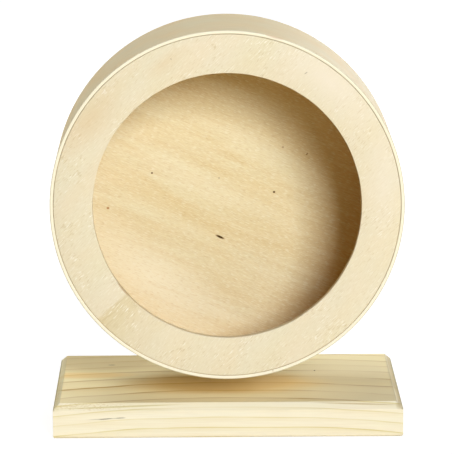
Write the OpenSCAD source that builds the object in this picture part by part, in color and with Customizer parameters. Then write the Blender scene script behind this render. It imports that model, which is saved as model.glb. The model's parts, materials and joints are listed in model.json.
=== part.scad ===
// Wooden exercise wheel for small rodents, on a base board with an upright behind it.
// The origin is the middle of the base board's underside, +Z is up, and the way in faces -Y.
// The drum, its hub and the axle bolt turn as one. The two bearings sit in the upright.

/* [Drum] */
// Outside diameter of the drum
drum_d = 200; // [170:1:240]
// Depth of the drum, from the front ring's face to the back of the disc
drum_depth = 71; // [50:1:100]
// Thickness of the bent band that is the rim and the running track
band_t = 2; // [1.5:0.1:3]
// Width of the gap where the two ends of the band meet
seam_gap = 0.2; // [0.1:0.1:1]
// Place of the seam, as an angle from the bottom towards +X
seam_turn = 15; // [-90:1:90]
// Slope of the cut across the band's ends, from the radius
seam_slope = 12; // [0:1:70]
// Thickness of the front ring
ring_t = 5; // [3:0.5:9]
// Width of the front ring, from the band to the way in
ring_w = 22.1; // [12:0.1:40]
// Thickness of the disc that closes the back
disc_t = 5; // [4:0.5:9]
// Glue line between the band and the pieces let into it
glue_gap = 0.1; // [0.05:0.05:0.3]
// Small bevel on the drum's cut edges
ease = 0.4; // [0.2:0.1:0.8]

/* [Hub] */
// Diameter of the hub block
hub_d = 70; // [56:1:90]
// Thickness of the hub block
hub_t = 16; // [13:0.5:26]
// Round on the hub block's rear edge
hub_round = 3; // [1:0.5:5]
// Diameter of the circle that the hub's screws stand on
hub_screw_pcd = 48; // [38:1:56]
// Number of screws through the hub block
hub_screw_count = 4; // [3:1:6]
// Wood left between a hub screw's tip and the inside of the drum
screw_skin = 1.5; // [1:0.5:3]

/* [Bearings and axle] */
// Bore of the bearings, which is the nominal size of the axle bolt
axle_d = 8; // [6:0.5:9]
// Outside diameter of a bearing
bearing_d = 22; // [21:0.5:26]
// Width of a bearing
bearing_w = 7; // [6:0.5:8]
// Diameter of a bearing ball
ball_d = 3.97; // [3.4:0.01:4.1]
// Number of balls in a bearing
ball_count = 7; // [5:1:8]
// Gap between the shoulders of a bearing's races
race_gap = 2.9; // [2.4:0.1:3.2]
// Bevel on the corners of races and washers
race_ease = 0.3; // [0.1:0.1:0.4]
// Radial thickness of a ball cage
cage_t = 0.9; // [0.6:0.1:1.4]
// Cage left at each side of a ball's pocket
cage_side = 0.45; // [0.3:0.05:0.6]
// Thickness of a bearing shield
shield_t = 0.35; // [0.2:0.05:0.5]
// Depth of a shield below the bearing's face
shield_inset = 0.3; // [0.1:0.1:0.5]
// Thickness of a washer at each end of the bearings
washer_t = 2; // [1:0.5:4]
// Size across the flats of the bolt's head
bolt_flats = 13; // [11:0.5:17]
// Height of the bolt's head
bolt_head_t = 5.3; // [3:0.1:7]
// Distance of the bolt's tip from the back of the disc
bolt_tip_gap = 3; // [1:0.5:6]
// Bevel round the bolt's tip
bolt_tip_bevel = 1; // [0.5:0.1:2]
// Diameter of the tee nut's flange
tee_flange_d = 21; // [18:0.5:26]
// Thickness of the tee nut's flange
tee_flange_t = 1.5; // [1:0.1:2.5]
// Wall of the tee nut's barrel
tee_wall = 1.1; // [0.8:0.1:1.5]
// Length of the tee nut's barrel below its flange
tee_barrel_l = 9; // [7:0.5:11]
// Length of the tee nut's prongs
prong_l = 6; // [3:0.5:8]

/* [Stand] */
// Width of the base board
base_w = 200; // [150:1:260]
// Thickness of the base board
base_t = 20; // [16:0.5:30]
// Width of the bevel along the base board's top edges
base_bevel = 3.7; // [1:0.1:7]
// Round along the base board's bottom edges
base_low_round = 1.5; // [0.5:0.5:3]
// Part of the base board behind the upright
base_behind = 13; // [4:1:40]
// Clear height between the base board and the drum
drum_clear = 14.5; // [6:0.5:40]
// Width of the upright
upright_w = 54; // [50:1:70]
// Thickness of the upright
upright_t = 18; // [17:0.5:26]
// Round on the upright's edges
upright_round = 2; // [0.5:0.5:4]
// Diameter of the dowels between base board and upright
dowel_d = 8; // [6:1:9]
// Distance between the two dowels
dowel_spacing = 17; // [14:1:18]
// Depth of a dowel in the base board
dowel_low = 12; // [6:1:14]
// Depth of a dowel in the upright
dowel_high = 16; // [8:1:24]

/* [Screws] */
// Thread diameter of the two stand screws
stand_screw_d = 4.5; // [3.5:0.5:5]
// Length of the stand screws
stand_screw_l = 50; // [36:1:70]
// Distance between the two stand screws
stand_screw_spacing = 38; // [32:1:40]
// Depth of a stand screw's head below the underside
stand_screw_sink = 1; // [0.5:0.1:3]
// Thread diameter of the hub screws
hub_screw_d = 3.5; // [3:0.5:4]
// Depth of a hub screw's head below the hub block's face
hub_screw_sink = 0.5; // [0.2:0.1:2]
// Head diameter of a countersunk screw, as a multiple of its thread
screw_head_ratio = 2; // [1.8:0.1:2.1]

/* [Clearances] */
// Clearance round a shaft that is pushed into a bore
push_fit = 0.02; // [0.01:0.01:0.05]
// Clearance round screws, dowels and prongs in the wood
wood_fit = 0.05; // [0.02:0.01:0.1]
// Clearance of the balls in their grooves
ball_play = 0.03; // [0.01:0.01:0.05]
// Clearance of the balls in the cage's pockets
pocket_play = 0.12; // [0.05:0.01:0.2]
// Clearance between a shield and the inner race
shield_gap = 0.2; // [0.1:0.05:0.4]
// Clearance round the turning parts in the upright's web
web_gap = 1.5; // [0.5:0.1:2.5]

/* [Hidden] */
$fn = 96;
drum_facets = 180;

pine = "#f4e6c4";
plywood = "#ecd9ae";
beech = "#e2bd8c";
zinc = "#c9ccd0";
race_steel = "#b4b7bb";

// Places along Y, from the front of the drum to the back of the base board
base_depth = drum_depth + hub_t + washer_t + upright_t + base_behind;
drum_front = -base_depth / 2;
disc_back = drum_front + drum_depth;
disc_front = disc_back - disc_t;
hub_back = disc_back + hub_t;
upright_front = hub_back + washer_t;
upright_back = upright_front + upright_t;
upright_mid = upright_front + upright_t / 2;
head_seat = upright_back + washer_t;
bolt_tip = disc_back + bolt_tip_gap;

// Heights
axle_z = base_t + drum_clear + drum_d / 2;

// Drum radii
drum_r = drum_d / 2;
band_in_r = drum_r - band_t;
let_in_r = band_in_r - glue_gap;
entry_r = let_in_r - ring_w;

// Bearing radii, from the axis of the axle
bore_r = axle_d / 2;
bearing_r = bearing_d / 2;
pitch_r = (bore_r + bearing_r) / 2;
ball_r = ball_d / 2;
groove_r = ball_r + ball_play;
inner_shoulder_r = pitch_r - race_gap / 2;
outer_shoulder_r = pitch_r + race_gap / 2;
shield_seat_r = (outer_shoulder_r + bearing_r) / 2 - race_ease;
shield_seat = shield_inset + shield_t;
cage_w = 2 * (ball_r + pocket_play + cage_side);
front_bearing_mid = upright_front + bearing_w / 2;
rear_bearing_mid = upright_back - bearing_w / 2;
bolt_r = bore_r - push_fit;
washer_r = inner_shoulder_r - race_ease / 2;
washer_hole_r = bore_r + push_fit;

// Tee nut
tee_barrel_r = bore_r + tee_wall;
tee_bottom = disc_back + tee_flange_t;
prong_count = 4;
prong_w = 3.2;
prong_t = 1.2;
prong_r = tee_flange_d / 2 - prong_t;

// Screws. The two ratios are of a head's radius and of its diameter.
recess_w = 0.9;
recess_reach_ratio = 0.6;
recess_depth_ratio = 0.45;
head_rim = 0.3;
hub_screw_turn = 45;
hub_screw_l = hub_t - hub_screw_sink + disc_t - screw_skin;

// Length by which a cutting shape passes the face that it cuts
cut = 1;

// Lays a shape that is drawn along +Z on the axle's line, along +Y from y
module along_y(y) {
    translate([0, y, axle_z])
        rotate([-90, 0, 0])
            children();
}

// Flat ring from 0 to t, with a bevel of size e on its cut edges
module eased_ring(outer_r, inner_r, t, e) {
    rotate_extrude($fn = drum_facets)
        polygon([
            [inner_r + e, 0], [outer_r - e, 0], [outer_r, e], [outer_r, t - e],
            [outer_r - e, t], [inner_r + e, t], [inner_r, t - e], [inner_r, e]
        ]);
}

// The same without a hole
module eased_disc(outer_r, t, e) {
    rotate_extrude($fn = drum_facets)
        polygon([[0, 0], [outer_r - e, 0], [outer_r, e], [outer_r, t - e], [outer_r - e, t], [0, t]]);
}

// Plain tube from 0 to l
module tube(outer_r, inner_r, l) {
    rotate_extrude()
        polygon([[inner_r, 0], [outer_r, 0], [outer_r, l], [inner_r, l]]);
}

// End view of a board that lies on the X axis, with bevelled top corners and rounded bottom ones
module board_section(w, h, bevel, low_r) {
    polygon([
        [-w / 2, low_r], [w / 2, low_r], [w / 2, h - bevel],
        [w / 2 - bevel, h], [bevel - w / 2, h], [-w / 2, h - bevel]
    ]);
    translate([low_r - w / 2, 0])
        square([w - 2 * low_r, h / 2]);
    for (side = [-1, 1])
        translate([side * (w / 2 - low_r), low_r])
            circle(low_r);
}

// Rectangle about the origin with four rounded corners
module round_rectangle(w, h, r) {
    square([w - 2 * r, h], center = true);
    square([w, h - 2 * r], center = true);
    for (x = [-1, 1], y = [-1, 1])
        translate([x * (w / 2 - r), y * (h / 2 - r)])
            circle(r);
}

// Countersunk wood screw. Its head's face is at 0 and its tip at +l.
module wood_screw(d, l) {
    head_r = d * screw_head_ratio / 2;
    taper = head_r - d / 2;
    difference() {
        union() {
            cylinder(r = head_r, h = head_rim);
            translate([0, 0, head_rim])
                cylinder(r1 = head_r, r2 = d / 2, h = taper);
            translate([0, 0, head_rim])
                cylinder(r = d / 2, h = l - head_rim - d);
            translate([0, 0, l - d])
                cylinder(r1 = d / 2, r2 = 0, h = d);
        }
        cross_recess(head_r);
    }
}

// Cross-shaped recess that narrows towards its bottom
module cross_recess(head_r) {
    reach = head_r * recess_reach_ratio;
    depth = head_r * 2 * recess_depth_ratio;
    intersection() {
        translate([0, 0, -cut])
            cylinder(r1 = reach + cut / 2, r2 = reach - depth / 2, h = depth + cut);
        for (turn = [0, 90])
            rotate([0, 0, turn])
                cube([head_r * 2, recess_w, 2 * depth], center = true);
    }
}

// Room that a sunk screw needs in the wood, open towards -Z
module screw_room(d, l, sink) {
    head_r = d * screw_head_ratio / 2 + wood_fit;
    taper = head_r - d / 2 - wood_fit;
    translate([0, 0, -sink - cut])
        cylinder(r = head_r, h = sink + cut + head_rim);
    translate([0, 0, head_rim])
        cylinder(r1 = head_r, r2 = d / 2 + wood_fit, h = taper);
    cylinder(r = d / 2 + wood_fit, h = l - d);
    translate([0, 0, l - d])
        cylinder(r1 = d / 2 + wood_fit, r2 = 0, h = d + 2 * wood_fit);
}

module at_stand_screws() {
    for (side = [-1, 1])
        translate([side * stand_screw_spacing / 2, upright_mid, stand_screw_sink])
            children();
}

module at_dowels(z) {
    for (side = [-1, 1])
        translate([side * dowel_spacing / 2, upright_mid, z])
            children();
}

module at_hub_screws() {
    for (i = [0 : hub_screw_count - 1])
        translate([0, hub_back - hub_screw_sink, axle_z])
            rotate([0, hub_screw_turn + 360 * i / hub_screw_count, 0])
                translate([hub_screw_pcd / 2, 0, 0])
                    rotate([90, 0, 0])
                        children();
}

module base_board() {
    color(pine)
        difference() {
            intersection() {
                rotate([90, 0, 0])
                    linear_extrude(base_depth, center = true)
                        board_section(base_w, base_t, base_bevel, base_low_round);
                rotate([90, 0, 90])
                    linear_extrude(base_w, center = true)
                        board_section(base_depth, base_t, base_bevel, base_low_round);
            }
            at_stand_screws()
                screw_room(stand_screw_d, stand_screw_l, stand_screw_sink);
            at_dowels(base_t - dowel_low - wood_fit)
                cylinder(d = dowel_d + 2 * wood_fit, h = dowel_low + wood_fit + cut);
        }
}

module upright_board() {
    color(pine)
        difference() {
            union() {
                translate([0, upright_mid, base_t])
                    linear_extrude(axle_z - base_t)
                        round_rectangle(upright_w, upright_t, upright_round);
                upright_head();
            }
            bearing_room();
            at_stand_screws()
                screw_room(stand_screw_d, stand_screw_l, stand_screw_sink);
            at_dowels(base_t - cut)
                cylinder(d = dowel_d + 2 * wood_fit, h = dowel_high + wood_fit + cut);
        }
}

// Round top of the upright, about the axle
module upright_head() {
    r = upright_w / 2;
    along_y(upright_front)
        rotate_extrude()
            intersection() {
                translate([0, upright_t / 2])
                    round_rectangle(upright_w, upright_t, upright_round);
                square([r, upright_t]);
            }
}

// Seats for the two bearings, with a web between them that their outer races stop against
module bearing_room() {
    along_y(upright_front - cut)
        cylinder(r = bearing_r + push_fit, h = bearing_w + cut);
    along_y(upright_back - bearing_w)
        cylinder(r = bearing_r + push_fit, h = bearing_w + cut);
    along_y(upright_front)
        cylinder(r = inner_shoulder_r + web_gap, h = upright_t);
}

module stand_dowels() {
    color(beech)
        at_dowels(base_t - dowel_low)
            cylinder(d = dowel_d, h = dowel_low + dowel_high);
}

module stand_screws() {
    color(zinc)
        at_stand_screws()
            wood_screw(stand_screw_d, stand_screw_l);
}

// Bent band. Its two ends meet near the bottom.
module running_band() {
    color(plywood)
        along_y(drum_front)
            difference() {
                eased_ring(drum_r, band_in_r, drum_depth, ease);
                rotate([0, 0, -seam_turn])
                    translate([0, drum_r - band_t / 2, drum_depth / 2])
                        rotate([0, 0, seam_slope])
                            cube([seam_gap, 3 * band_t / cos(seam_slope), drum_depth + cut], center = true);
            }
}

module front_ring() {
    color(plywood)
        along_y(drum_front)
            eased_ring(let_in_r, entry_r, ring_t, ease);
}

module back_disc() {
    color(plywood)
        difference() {
            along_y(disc_front)
                eased_disc(let_in_r, disc_t, ease);
            at_hub_screws()
                screw_room(hub_screw_d, hub_screw_l, hub_screw_sink);
        }
}

module hub_block() {
    color(beech)
        difference() {
            along_y(disc_back)
                hub_body();
            along_y(disc_back)
                cylinder(r = bolt_r + wood_fit, h = hub_t + cut);
            along_y(disc_back - cut)
                cylinder(r = tee_flange_d / 2 + wood_fit, h = tee_flange_t + cut);
            along_y(disc_back)
                cylinder(r = tee_barrel_r + wood_fit, h = tee_flange_t + tee_barrel_l + wood_fit);
            prongs(wood_fit);
            at_hub_screws()
                screw_room(hub_screw_d, hub_screw_l, hub_screw_sink);
        }
}

// Round block with its rear edge rounded over
module hub_body() {
    r = hub_d / 2;
    rotate_extrude() {
        square([r, hub_t - hub_round]);
        square([r - hub_round, hub_t]);
        translate([r - hub_round, hub_t - hub_round])
            circle(hub_round);
    }
}

module hub_screws() {
    color(zinc)
        at_hub_screws()
            wood_screw(hub_screw_d, hub_screw_l);
}

// Pointed prongs of the tee nut, bent back into the hub block. They grow by fit for their slots.
module prongs(fit = 0) {
    half_w = prong_w / 2 + fit;
    for (i = [0 : prong_count - 1])
        along_y(tee_bottom)
            rotate([0, 0, 360 * i / prong_count])
                translate([prong_r - fit, 0, 0])
                    rotate([90, 0, 90])
                        linear_extrude(prong_t + 2 * fit)
                            polygon([[-half_w, -fit], [half_w, -fit], [0, prong_l + 2 * fit]]);
}

module tee_nut() {
    color(zinc) {
        along_y(disc_back)
            tube(tee_flange_d / 2, bore_r, tee_flange_t);
        along_y(disc_back)
            tube(tee_barrel_r, bore_r, tee_flange_t + tee_barrel_l);
        prongs();
    }
}

module axle_bolt() {
    corner_r = bolt_flats / 2 / cos(30);
    color(zinc) {
        along_y(bolt_tip)
            cylinder(r1 = bolt_r - bolt_tip_bevel, r2 = bolt_r, h = bolt_tip_bevel);
        along_y(bolt_tip + bolt_tip_bevel)
            cylinder(r = bolt_r, h = head_seat - bolt_tip - bolt_tip_bevel);
        along_y(head_seat)
            intersection() {
                cylinder(r = corner_r, h = bolt_head_t, $fn = 6);
                cylinder(r1 = corner_r + bolt_head_t, r2 = bolt_flats / 2 - race_ease, h = bolt_head_t);
            }
    }
}

// Narrow washer that bears on the inner race only
module narrow_washer(y) {
    along_y(y)
        eased_ring(washer_r, washer_hole_r, washer_t, race_ease);
}

module front_washer() {
    color(zinc)
        narrow_washer(hub_back);
}

module rear_washer() {
    color(zinc)
        narrow_washer(upright_back);
}

// Tube that keeps the two inner races apart
module race_spacer() {
    color(zinc)
        along_y(upright_front + bearing_w)
            tube(washer_r, washer_hole_r, upright_t - 2 * bearing_w);
}

module outer_race(mid) {
    half = bearing_w / 2;
    color(race_steel)
        along_y(mid)
            rotate_extrude()
                difference() {
                    polygon([
                        [shield_seat_r, -half], [bearing_r - race_ease, -half],
                        [bearing_r, race_ease - half], [bearing_r, half - race_ease],
                        [bearing_r - race_ease, half], [shield_seat_r, half],
                        [shield_seat_r, half - shield_seat], [outer_shoulder_r, half - shield_seat],
                        [outer_shoulder_r, shield_seat - half], [shield_seat_r, shield_seat - half]
                    ]);
                    translate([pitch_r, 0])
                        circle(groove_r);
                }
}

module inner_race(mid) {
    half = bearing_w / 2;
    color(race_steel)
        along_y(mid)
            rotate_extrude()
                difference() {
                    polygon([
                        [bore_r, race_ease - half], [bore_r + race_ease, -half],
                        [inner_shoulder_r, -half], [inner_shoulder_r, half],
                        [bore_r + race_ease, half], [bore_r, half - race_ease]
                    ]);
                    translate([pitch_r, 0])
                        circle(groove_r);
                }
}

module at_balls(mid) {
    for (i = [0 : ball_count - 1])
        along_y(mid)
            rotate([0, 0, 360 * i / ball_count])
                translate([pitch_r, 0, 0])
                    children();
}

module balls(mid) {
    color(zinc)
        at_balls(mid)
            sphere(ball_r);
}

// Ring between the races with a round pocket for each ball
module cage(mid) {
    color(race_steel)
        difference() {
            along_y(mid - cage_w / 2)
                tube(pitch_r + cage_t / 2, pitch_r - cage_t / 2, cage_w);
            at_balls(mid)
                rotate([0, 90, 0])
                    cylinder(r = ball_r + pocket_play, h = 2 * cage_t, center = true);
        }
}

// One thin cover at each side of a bearing, held by the outer race
module shields(mid) {
    seat = bearing_w / 2 - shield_seat;
    color(zinc)
        for (y = [mid - seat - shield_t, mid + seat])
            along_y(y)
                tube(shield_seat_r, inner_shoulder_r + shield_gap, shield_t);
}

module front_outer_race() {
    outer_race(front_bearing_mid);
}

module front_inner_race() {
    inner_race(front_bearing_mid);
}

module front_balls() {
    balls(front_bearing_mid);
}

module front_cage() {
    cage(front_bearing_mid);
}

module front_shields() {
    shields(front_bearing_mid);
}

module rear_outer_race() {
    outer_race(rear_bearing_mid);
}

module rear_inner_race() {
    inner_race(rear_bearing_mid);
}

module rear_balls() {
    balls(rear_bearing_mid);
}

module rear_cage() {
    cage(rear_bearing_mid);
}

module rear_shields() {
    shields(rear_bearing_mid);
}

base_board();
upright_board();
stand_dowels();
stand_screws();
running_band();
front_ring();
back_disc();
hub_block();
hub_screws();
tee_nut();
axle_bolt();
front_washer();
rear_washer();
race_spacer();
front_outer_race();
front_inner_race();
front_balls();
front_cage();
front_shields();
rear_outer_race();
rear_inner_race();
rear_balls();
rear_cage();
rear_shields();
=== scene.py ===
"""Looks of a wooden exercise wheel for small rodents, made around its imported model.

Places and sizes are metres in the model's frame: +Z is up, the way in faces -Y, the axle lies along Y.
Patterns in the materials are laid out in millimetres.
"""

import json
import math
from collections import namedtuple

import bmesh
import bpy
from bpy.props import FloatProperty, FloatVectorProperty, IntProperty, PointerProperty
from mathutils import Matrix, Vector


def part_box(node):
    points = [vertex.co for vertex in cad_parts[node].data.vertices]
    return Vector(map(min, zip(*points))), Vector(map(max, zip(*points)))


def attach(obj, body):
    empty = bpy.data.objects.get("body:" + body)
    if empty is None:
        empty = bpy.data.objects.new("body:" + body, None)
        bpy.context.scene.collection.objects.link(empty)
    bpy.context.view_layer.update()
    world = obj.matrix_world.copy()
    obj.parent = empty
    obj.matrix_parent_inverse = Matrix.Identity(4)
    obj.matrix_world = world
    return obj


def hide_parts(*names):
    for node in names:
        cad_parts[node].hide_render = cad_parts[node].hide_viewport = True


bl_info = {
    "name": "Wooden Exercise Wheel",
    "version": (1, 0, 0),
    "blender": (4, 5, 0),
    "location": "3D View > Sidebar > Wheel",
    "description": "Builds a wooden exercise wheel for small rodents, with its stand and bearings",
    "category": "Add Mesh",
}

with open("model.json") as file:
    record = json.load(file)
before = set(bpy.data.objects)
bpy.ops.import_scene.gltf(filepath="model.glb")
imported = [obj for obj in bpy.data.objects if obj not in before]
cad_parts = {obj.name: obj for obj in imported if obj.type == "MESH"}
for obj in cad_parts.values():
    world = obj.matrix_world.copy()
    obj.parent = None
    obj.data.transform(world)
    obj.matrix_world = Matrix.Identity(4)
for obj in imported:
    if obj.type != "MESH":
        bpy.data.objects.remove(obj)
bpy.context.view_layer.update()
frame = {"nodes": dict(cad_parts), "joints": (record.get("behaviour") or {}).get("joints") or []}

MM = 0.001
AXLE = Vector(next(j["pos_m"] for j in frame["joints"] if j["name"] == "wheel_spin"))

MATH = "ShaderNodeMath"
VECTOR = "ShaderNodeVectorMath"
RANGE = "ShaderNodeMapRange"
NOISE = "ShaderNodeTexNoise"
MIX = "ShaderNodeMix"
SPLIT = "ShaderNodeSeparateXYZ"
JOIN = "ShaderNodeCombineXYZ"
MAPPING = "ShaderNodeMapping"
GROUP = "ShaderNodeGroup"

# Fractal noise lies mostly between these two values.
SPREAD = {"From Min": 0.3, "From Max": 0.7}
# Sanding breaks up the surface of bare wood, so it mirrors less than its refraction alone would give.
BARE_WOOD = {"IOR": 1.48, "Specular IOR Level": 0.12}

Round = namedtuple("Round", "inner outer front back")


def about_axle(node):
    """Least and greatest distance of a node from the axle, and where it begins and ends along it."""
    reach = [math.hypot(v.co.x, v.co.z - AXLE.z) for v in frame["nodes"][node].data.vertices]
    low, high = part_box(node)
    return Round(min(reach), max(reach), low.y, high.y)


BAND = about_axle("running_band")
RING = about_axle("front_ring")
BOLT = about_axle("axle_bolt")
# The bolt is a push fit in the bearings' bores of 8 mm.
BOLT_SHANK = 3.98 * MM
HUB_SCREWS = about_axle("hub_screws")


def linear(code):
    """Linear colour of an sRGB hex value, with alpha."""
    parts = [int(code[i : i + 2], 16) / 255 for i in (1, 3, 5)]
    return (*(c / 12.92 if c <= 0.04045 else ((c + 0.055) / 1.055) ** 2.4 for c in parts), 1.0)


def colour(label, code, about):
    """Setting for a colour, with its default as an sRGB hex value."""
    return FloatVectorProperty(
        name=label, description=about, subtype="COLOR", size=4, min=0, max=1, default=linear(code)
    )


def length(label, default, about):
    """Setting for a length, with its default in metres."""
    return FloatProperty(name=label, description=about, default=default, min=0, unit="LENGTH", precision=5)


def angle(label, degrees, about):
    """Setting for an angle, with its default in degrees."""
    return FloatProperty(name=label, description=about, default=math.radians(degrees), subtype="ANGLE")


def power(label, watts, about):
    """Setting for a lamp's power, with its default in watts."""
    return FloatProperty(name=label, description=about, default=watts, min=0, unit="POWER")


class DrumSizes(bpy.types.PropertyGroup):
    edge_round: length("Edge round", 0.4 * MM, "Round that sanding leaves on the drum's cut edges")
    seam_place: angle("Seam place", 165, "Where the band's ends meet, from the top towards +X")
    seam_slope: angle("Seam slope", 12, "Slope of the cut across the band's ends, from the radius")
    seam_gap: length("Seam gap", 0.2 * MM, "Gap between the band's ends")
    torn_place: angle("Torn place", 15.6, "Middle of the torn skin at the band's front edge, from the top")
    torn_length: length("Torn length", 13 * MM, "Length of the torn skin along the edge")
    torn_width: length("Torn width", 1.4 * MM, "Width of the torn skin from the front edge")
    torn_depth: length("Torn depth", 0.35 * MM, "Thickness of the skin that is missing there")
    bore_wave: length("Bore wave", 0.18 * MM, "How far the sanded edge of the way in strays from a circle")


class FixingSizes(bpy.types.PropertyGroup):
    bolt_pitch: length("Bolt pitch", 1.25 * MM, "Pitch of the axle bolt's thread")
    bolt_thread: length("Bolt thread", 22 * MM, "Length of the axle bolt's thread from its tip")
    bolt_head: length("Bolt head", 5.3 * MM, "Height of the axle bolt's head")
    bolt_flats: length("Bolt flats", 13 * MM, "Size of the axle bolt's head across its flats")
    screw_pitch: length("Screw pitch", 2.2 * MM, "Pitch of the stand screws' thread")
    hub_screw_pitch: length("Hub screw pitch", 1.6 * MM, "Pitch of the hub screws' thread")
    dowel_flutes: IntProperty(
        name="Dowel flutes", description="Glue flutes round a dowel", default=20, min=0
    )
    ball_count: IntProperty(name="Balls", description="Balls in a bearing", default=7, min=1)


class WoodColours(bpy.types.PropertyGroup):
    pine: colour("Pine", "#fbfaea", "Early wood of the base board and the upright")
    pine_line: colour("Pine growth line", "#e6dfb2", "Tone of the late wood, which shows as lines")
    # The two broad-face tones below are partly painted warm shade, which on the base board lies on its top.
    pine_broad: colour("Pine broad face", "#fbf4d8", "Tone of a face that is cut along the growth rings")
    pine_broad_line: colour("Pine broad line", "#c4ab77", "Tone of the late wood on such a face")
    ring: colour("Ring face", "#ece7d4", "Face veneer of the front ring")
    ring_shade: colour("Ring streaks", "#e6d6b0", "Darker streaks in the ring's face veneer")
    disc: colour("Disc face", "#f1ebc9", "Face veneer of the back disc")
    disc_shade: colour("Disc streaks", "#e3ce9a", "Darker streaks in the disc's face veneer")
    band: colour("Band skin", "#e2cea6", "Outer skin of the bent band")
    band_shade: colour("Band streaks", "#e3d0a2", "Darker streaks in the band's skin")
    band_inside: colour("Band inside", "#dab067", "Inner skin of the bent band, which the animal runs on")
    cut_edge: colour("Cut edge", "#fdf8e4", "Freshly sanded front edge of the band")
    beech: colour("Beech", "#e2c195", "Turned beech of the hub block and the dowels")
    beech_shade: colour("Beech flecks", "#c8996a", "Rays and pores in the beech")
    burn: colour("Burnt edge", "#a8854f", "Where the cutter rubbed the edge of the way in")
    bark: colour("Bark", "#4a3410", "Bark pocket and knots")


class MetalColours(bpy.types.PropertyGroup):
    zinc: colour("Zinc plate", "#bfc4ca", "Bright zinc plate on the bolt, screws, nut and washers")
    bearing: colour("Bearing steel", "#c4c7ca", "Ground races and polished balls")
    sheet: colour("Shield steel", "#b9bcc0", "Pressed steel of the shields and cages")


class StageSettings(bpy.types.PropertyGroup):
    key_power: power("Key", 88.5, "Power of the front softbox")
    key_size: length("Key size", 1.16, "Side of the front softbox")
    key_distance: length("Key distance", 3.2, "Distance of the front softbox from the drum's middle")
    key_turn: angle("Key turn", 19, "Direction of the front softbox, from the front towards +X")
    key_rise: angle("Key rise", 20, "Height of the front softbox above the horizon")
    top_power: power("Top", 10.0, "Power of the overhead softbox")
    top_size: length("Top size", 1.0, "Side of the overhead softbox")
    top_place: FloatVectorProperty(
        name="Top place",
        description="Place of the overhead softbox, from the drum's middle",
        subtype="TRANSLATION",
        unit="LENGTH",
        default=(-0.25, 0.2, 1.5),
    )
    back_power: power("Back", 11.0, "Power of the softbox behind on the right")
    back_turn: angle("Back turn", 155, "Direction of the softbox behind, from the front towards +X")
    back_rise: angle("Back rise", 9, "Height of the softbox behind above the horizon")
    side_power: power("Side", 7.5, "Power of the softbox on the left")
    side_turn: angle("Side turn", -105, "Direction of the side softbox, from the front towards +X")
    side_rise: angle("Side rise", 12, "Height of the side softbox above the horizon")
    near_size: length("Near size", 0.8, "Side of the softboxes on the left and behind")
    near_distance: length("Near distance", 1.5, "Distance of those two from the drum's middle")
    sky: FloatProperty(name="Sky", description="Strength of the light from all around", default=0.0, min=0)
    floor_reach: length("Floor reach", 6.0, "Distance of the floor's sides from its middle")
    camera_turn: angle("Camera turn", -0.555, "Direction of the camera, from the front towards +X")
    camera_rise: angle("Camera rise", 11.501, "Height of the camera above the horizon")
    camera_roll: angle("Camera roll", -0.2335, "Roll of the camera about its own axis")
    camera_distance: length("Camera distance", 1.73466, "Distance of the camera from the drum's front")
    camera_lens: FloatProperty(
        name="Lens", description="Focal length on a 36 mm frame", default=244.1, unit="CAMERA"
    )


def add(tree, kind, feeds=None, **settings):
    """Adds a node, sets it up and feeds its inputs, then returns its first output.

    A feed is a socket, which is linked, or a value. Its key is a shown input's name or number.
    """
    node = tree.nodes.new(kind)
    for name, value in settings.items():
        setattr(node, name, value)
    shown = [s for s in node.inputs if s.enabled]
    for key, value in (feeds or {}).items():
        socket = shown[key] if isinstance(key, int) else next(s for s in shown if s.name == key)
        if isinstance(value, bpy.types.NodeSocket):
            tree.links.new(value, socket)
        else:
            socket.default_value = value
    return next((s for s in node.outputs if s.enabled), None)


def start_group(kind, name, inputs, outputs):
    """New node group with those sockets. Returns it and its inputs by name."""
    tree = bpy.data.node_groups.new(name, kind)
    for label, (socket_type, default) in inputs.items():
        socket = tree.interface.new_socket(label, in_out="INPUT", socket_type="NodeSocket" + socket_type)
        if default is not None:
            socket.default_value = default
    for label, socket_type in outputs.items():
        tree.interface.new_socket(label, in_out="OUTPUT", socket_type="NodeSocket" + socket_type)
    return tree, tree.nodes.new("NodeGroupInput").outputs


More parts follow.
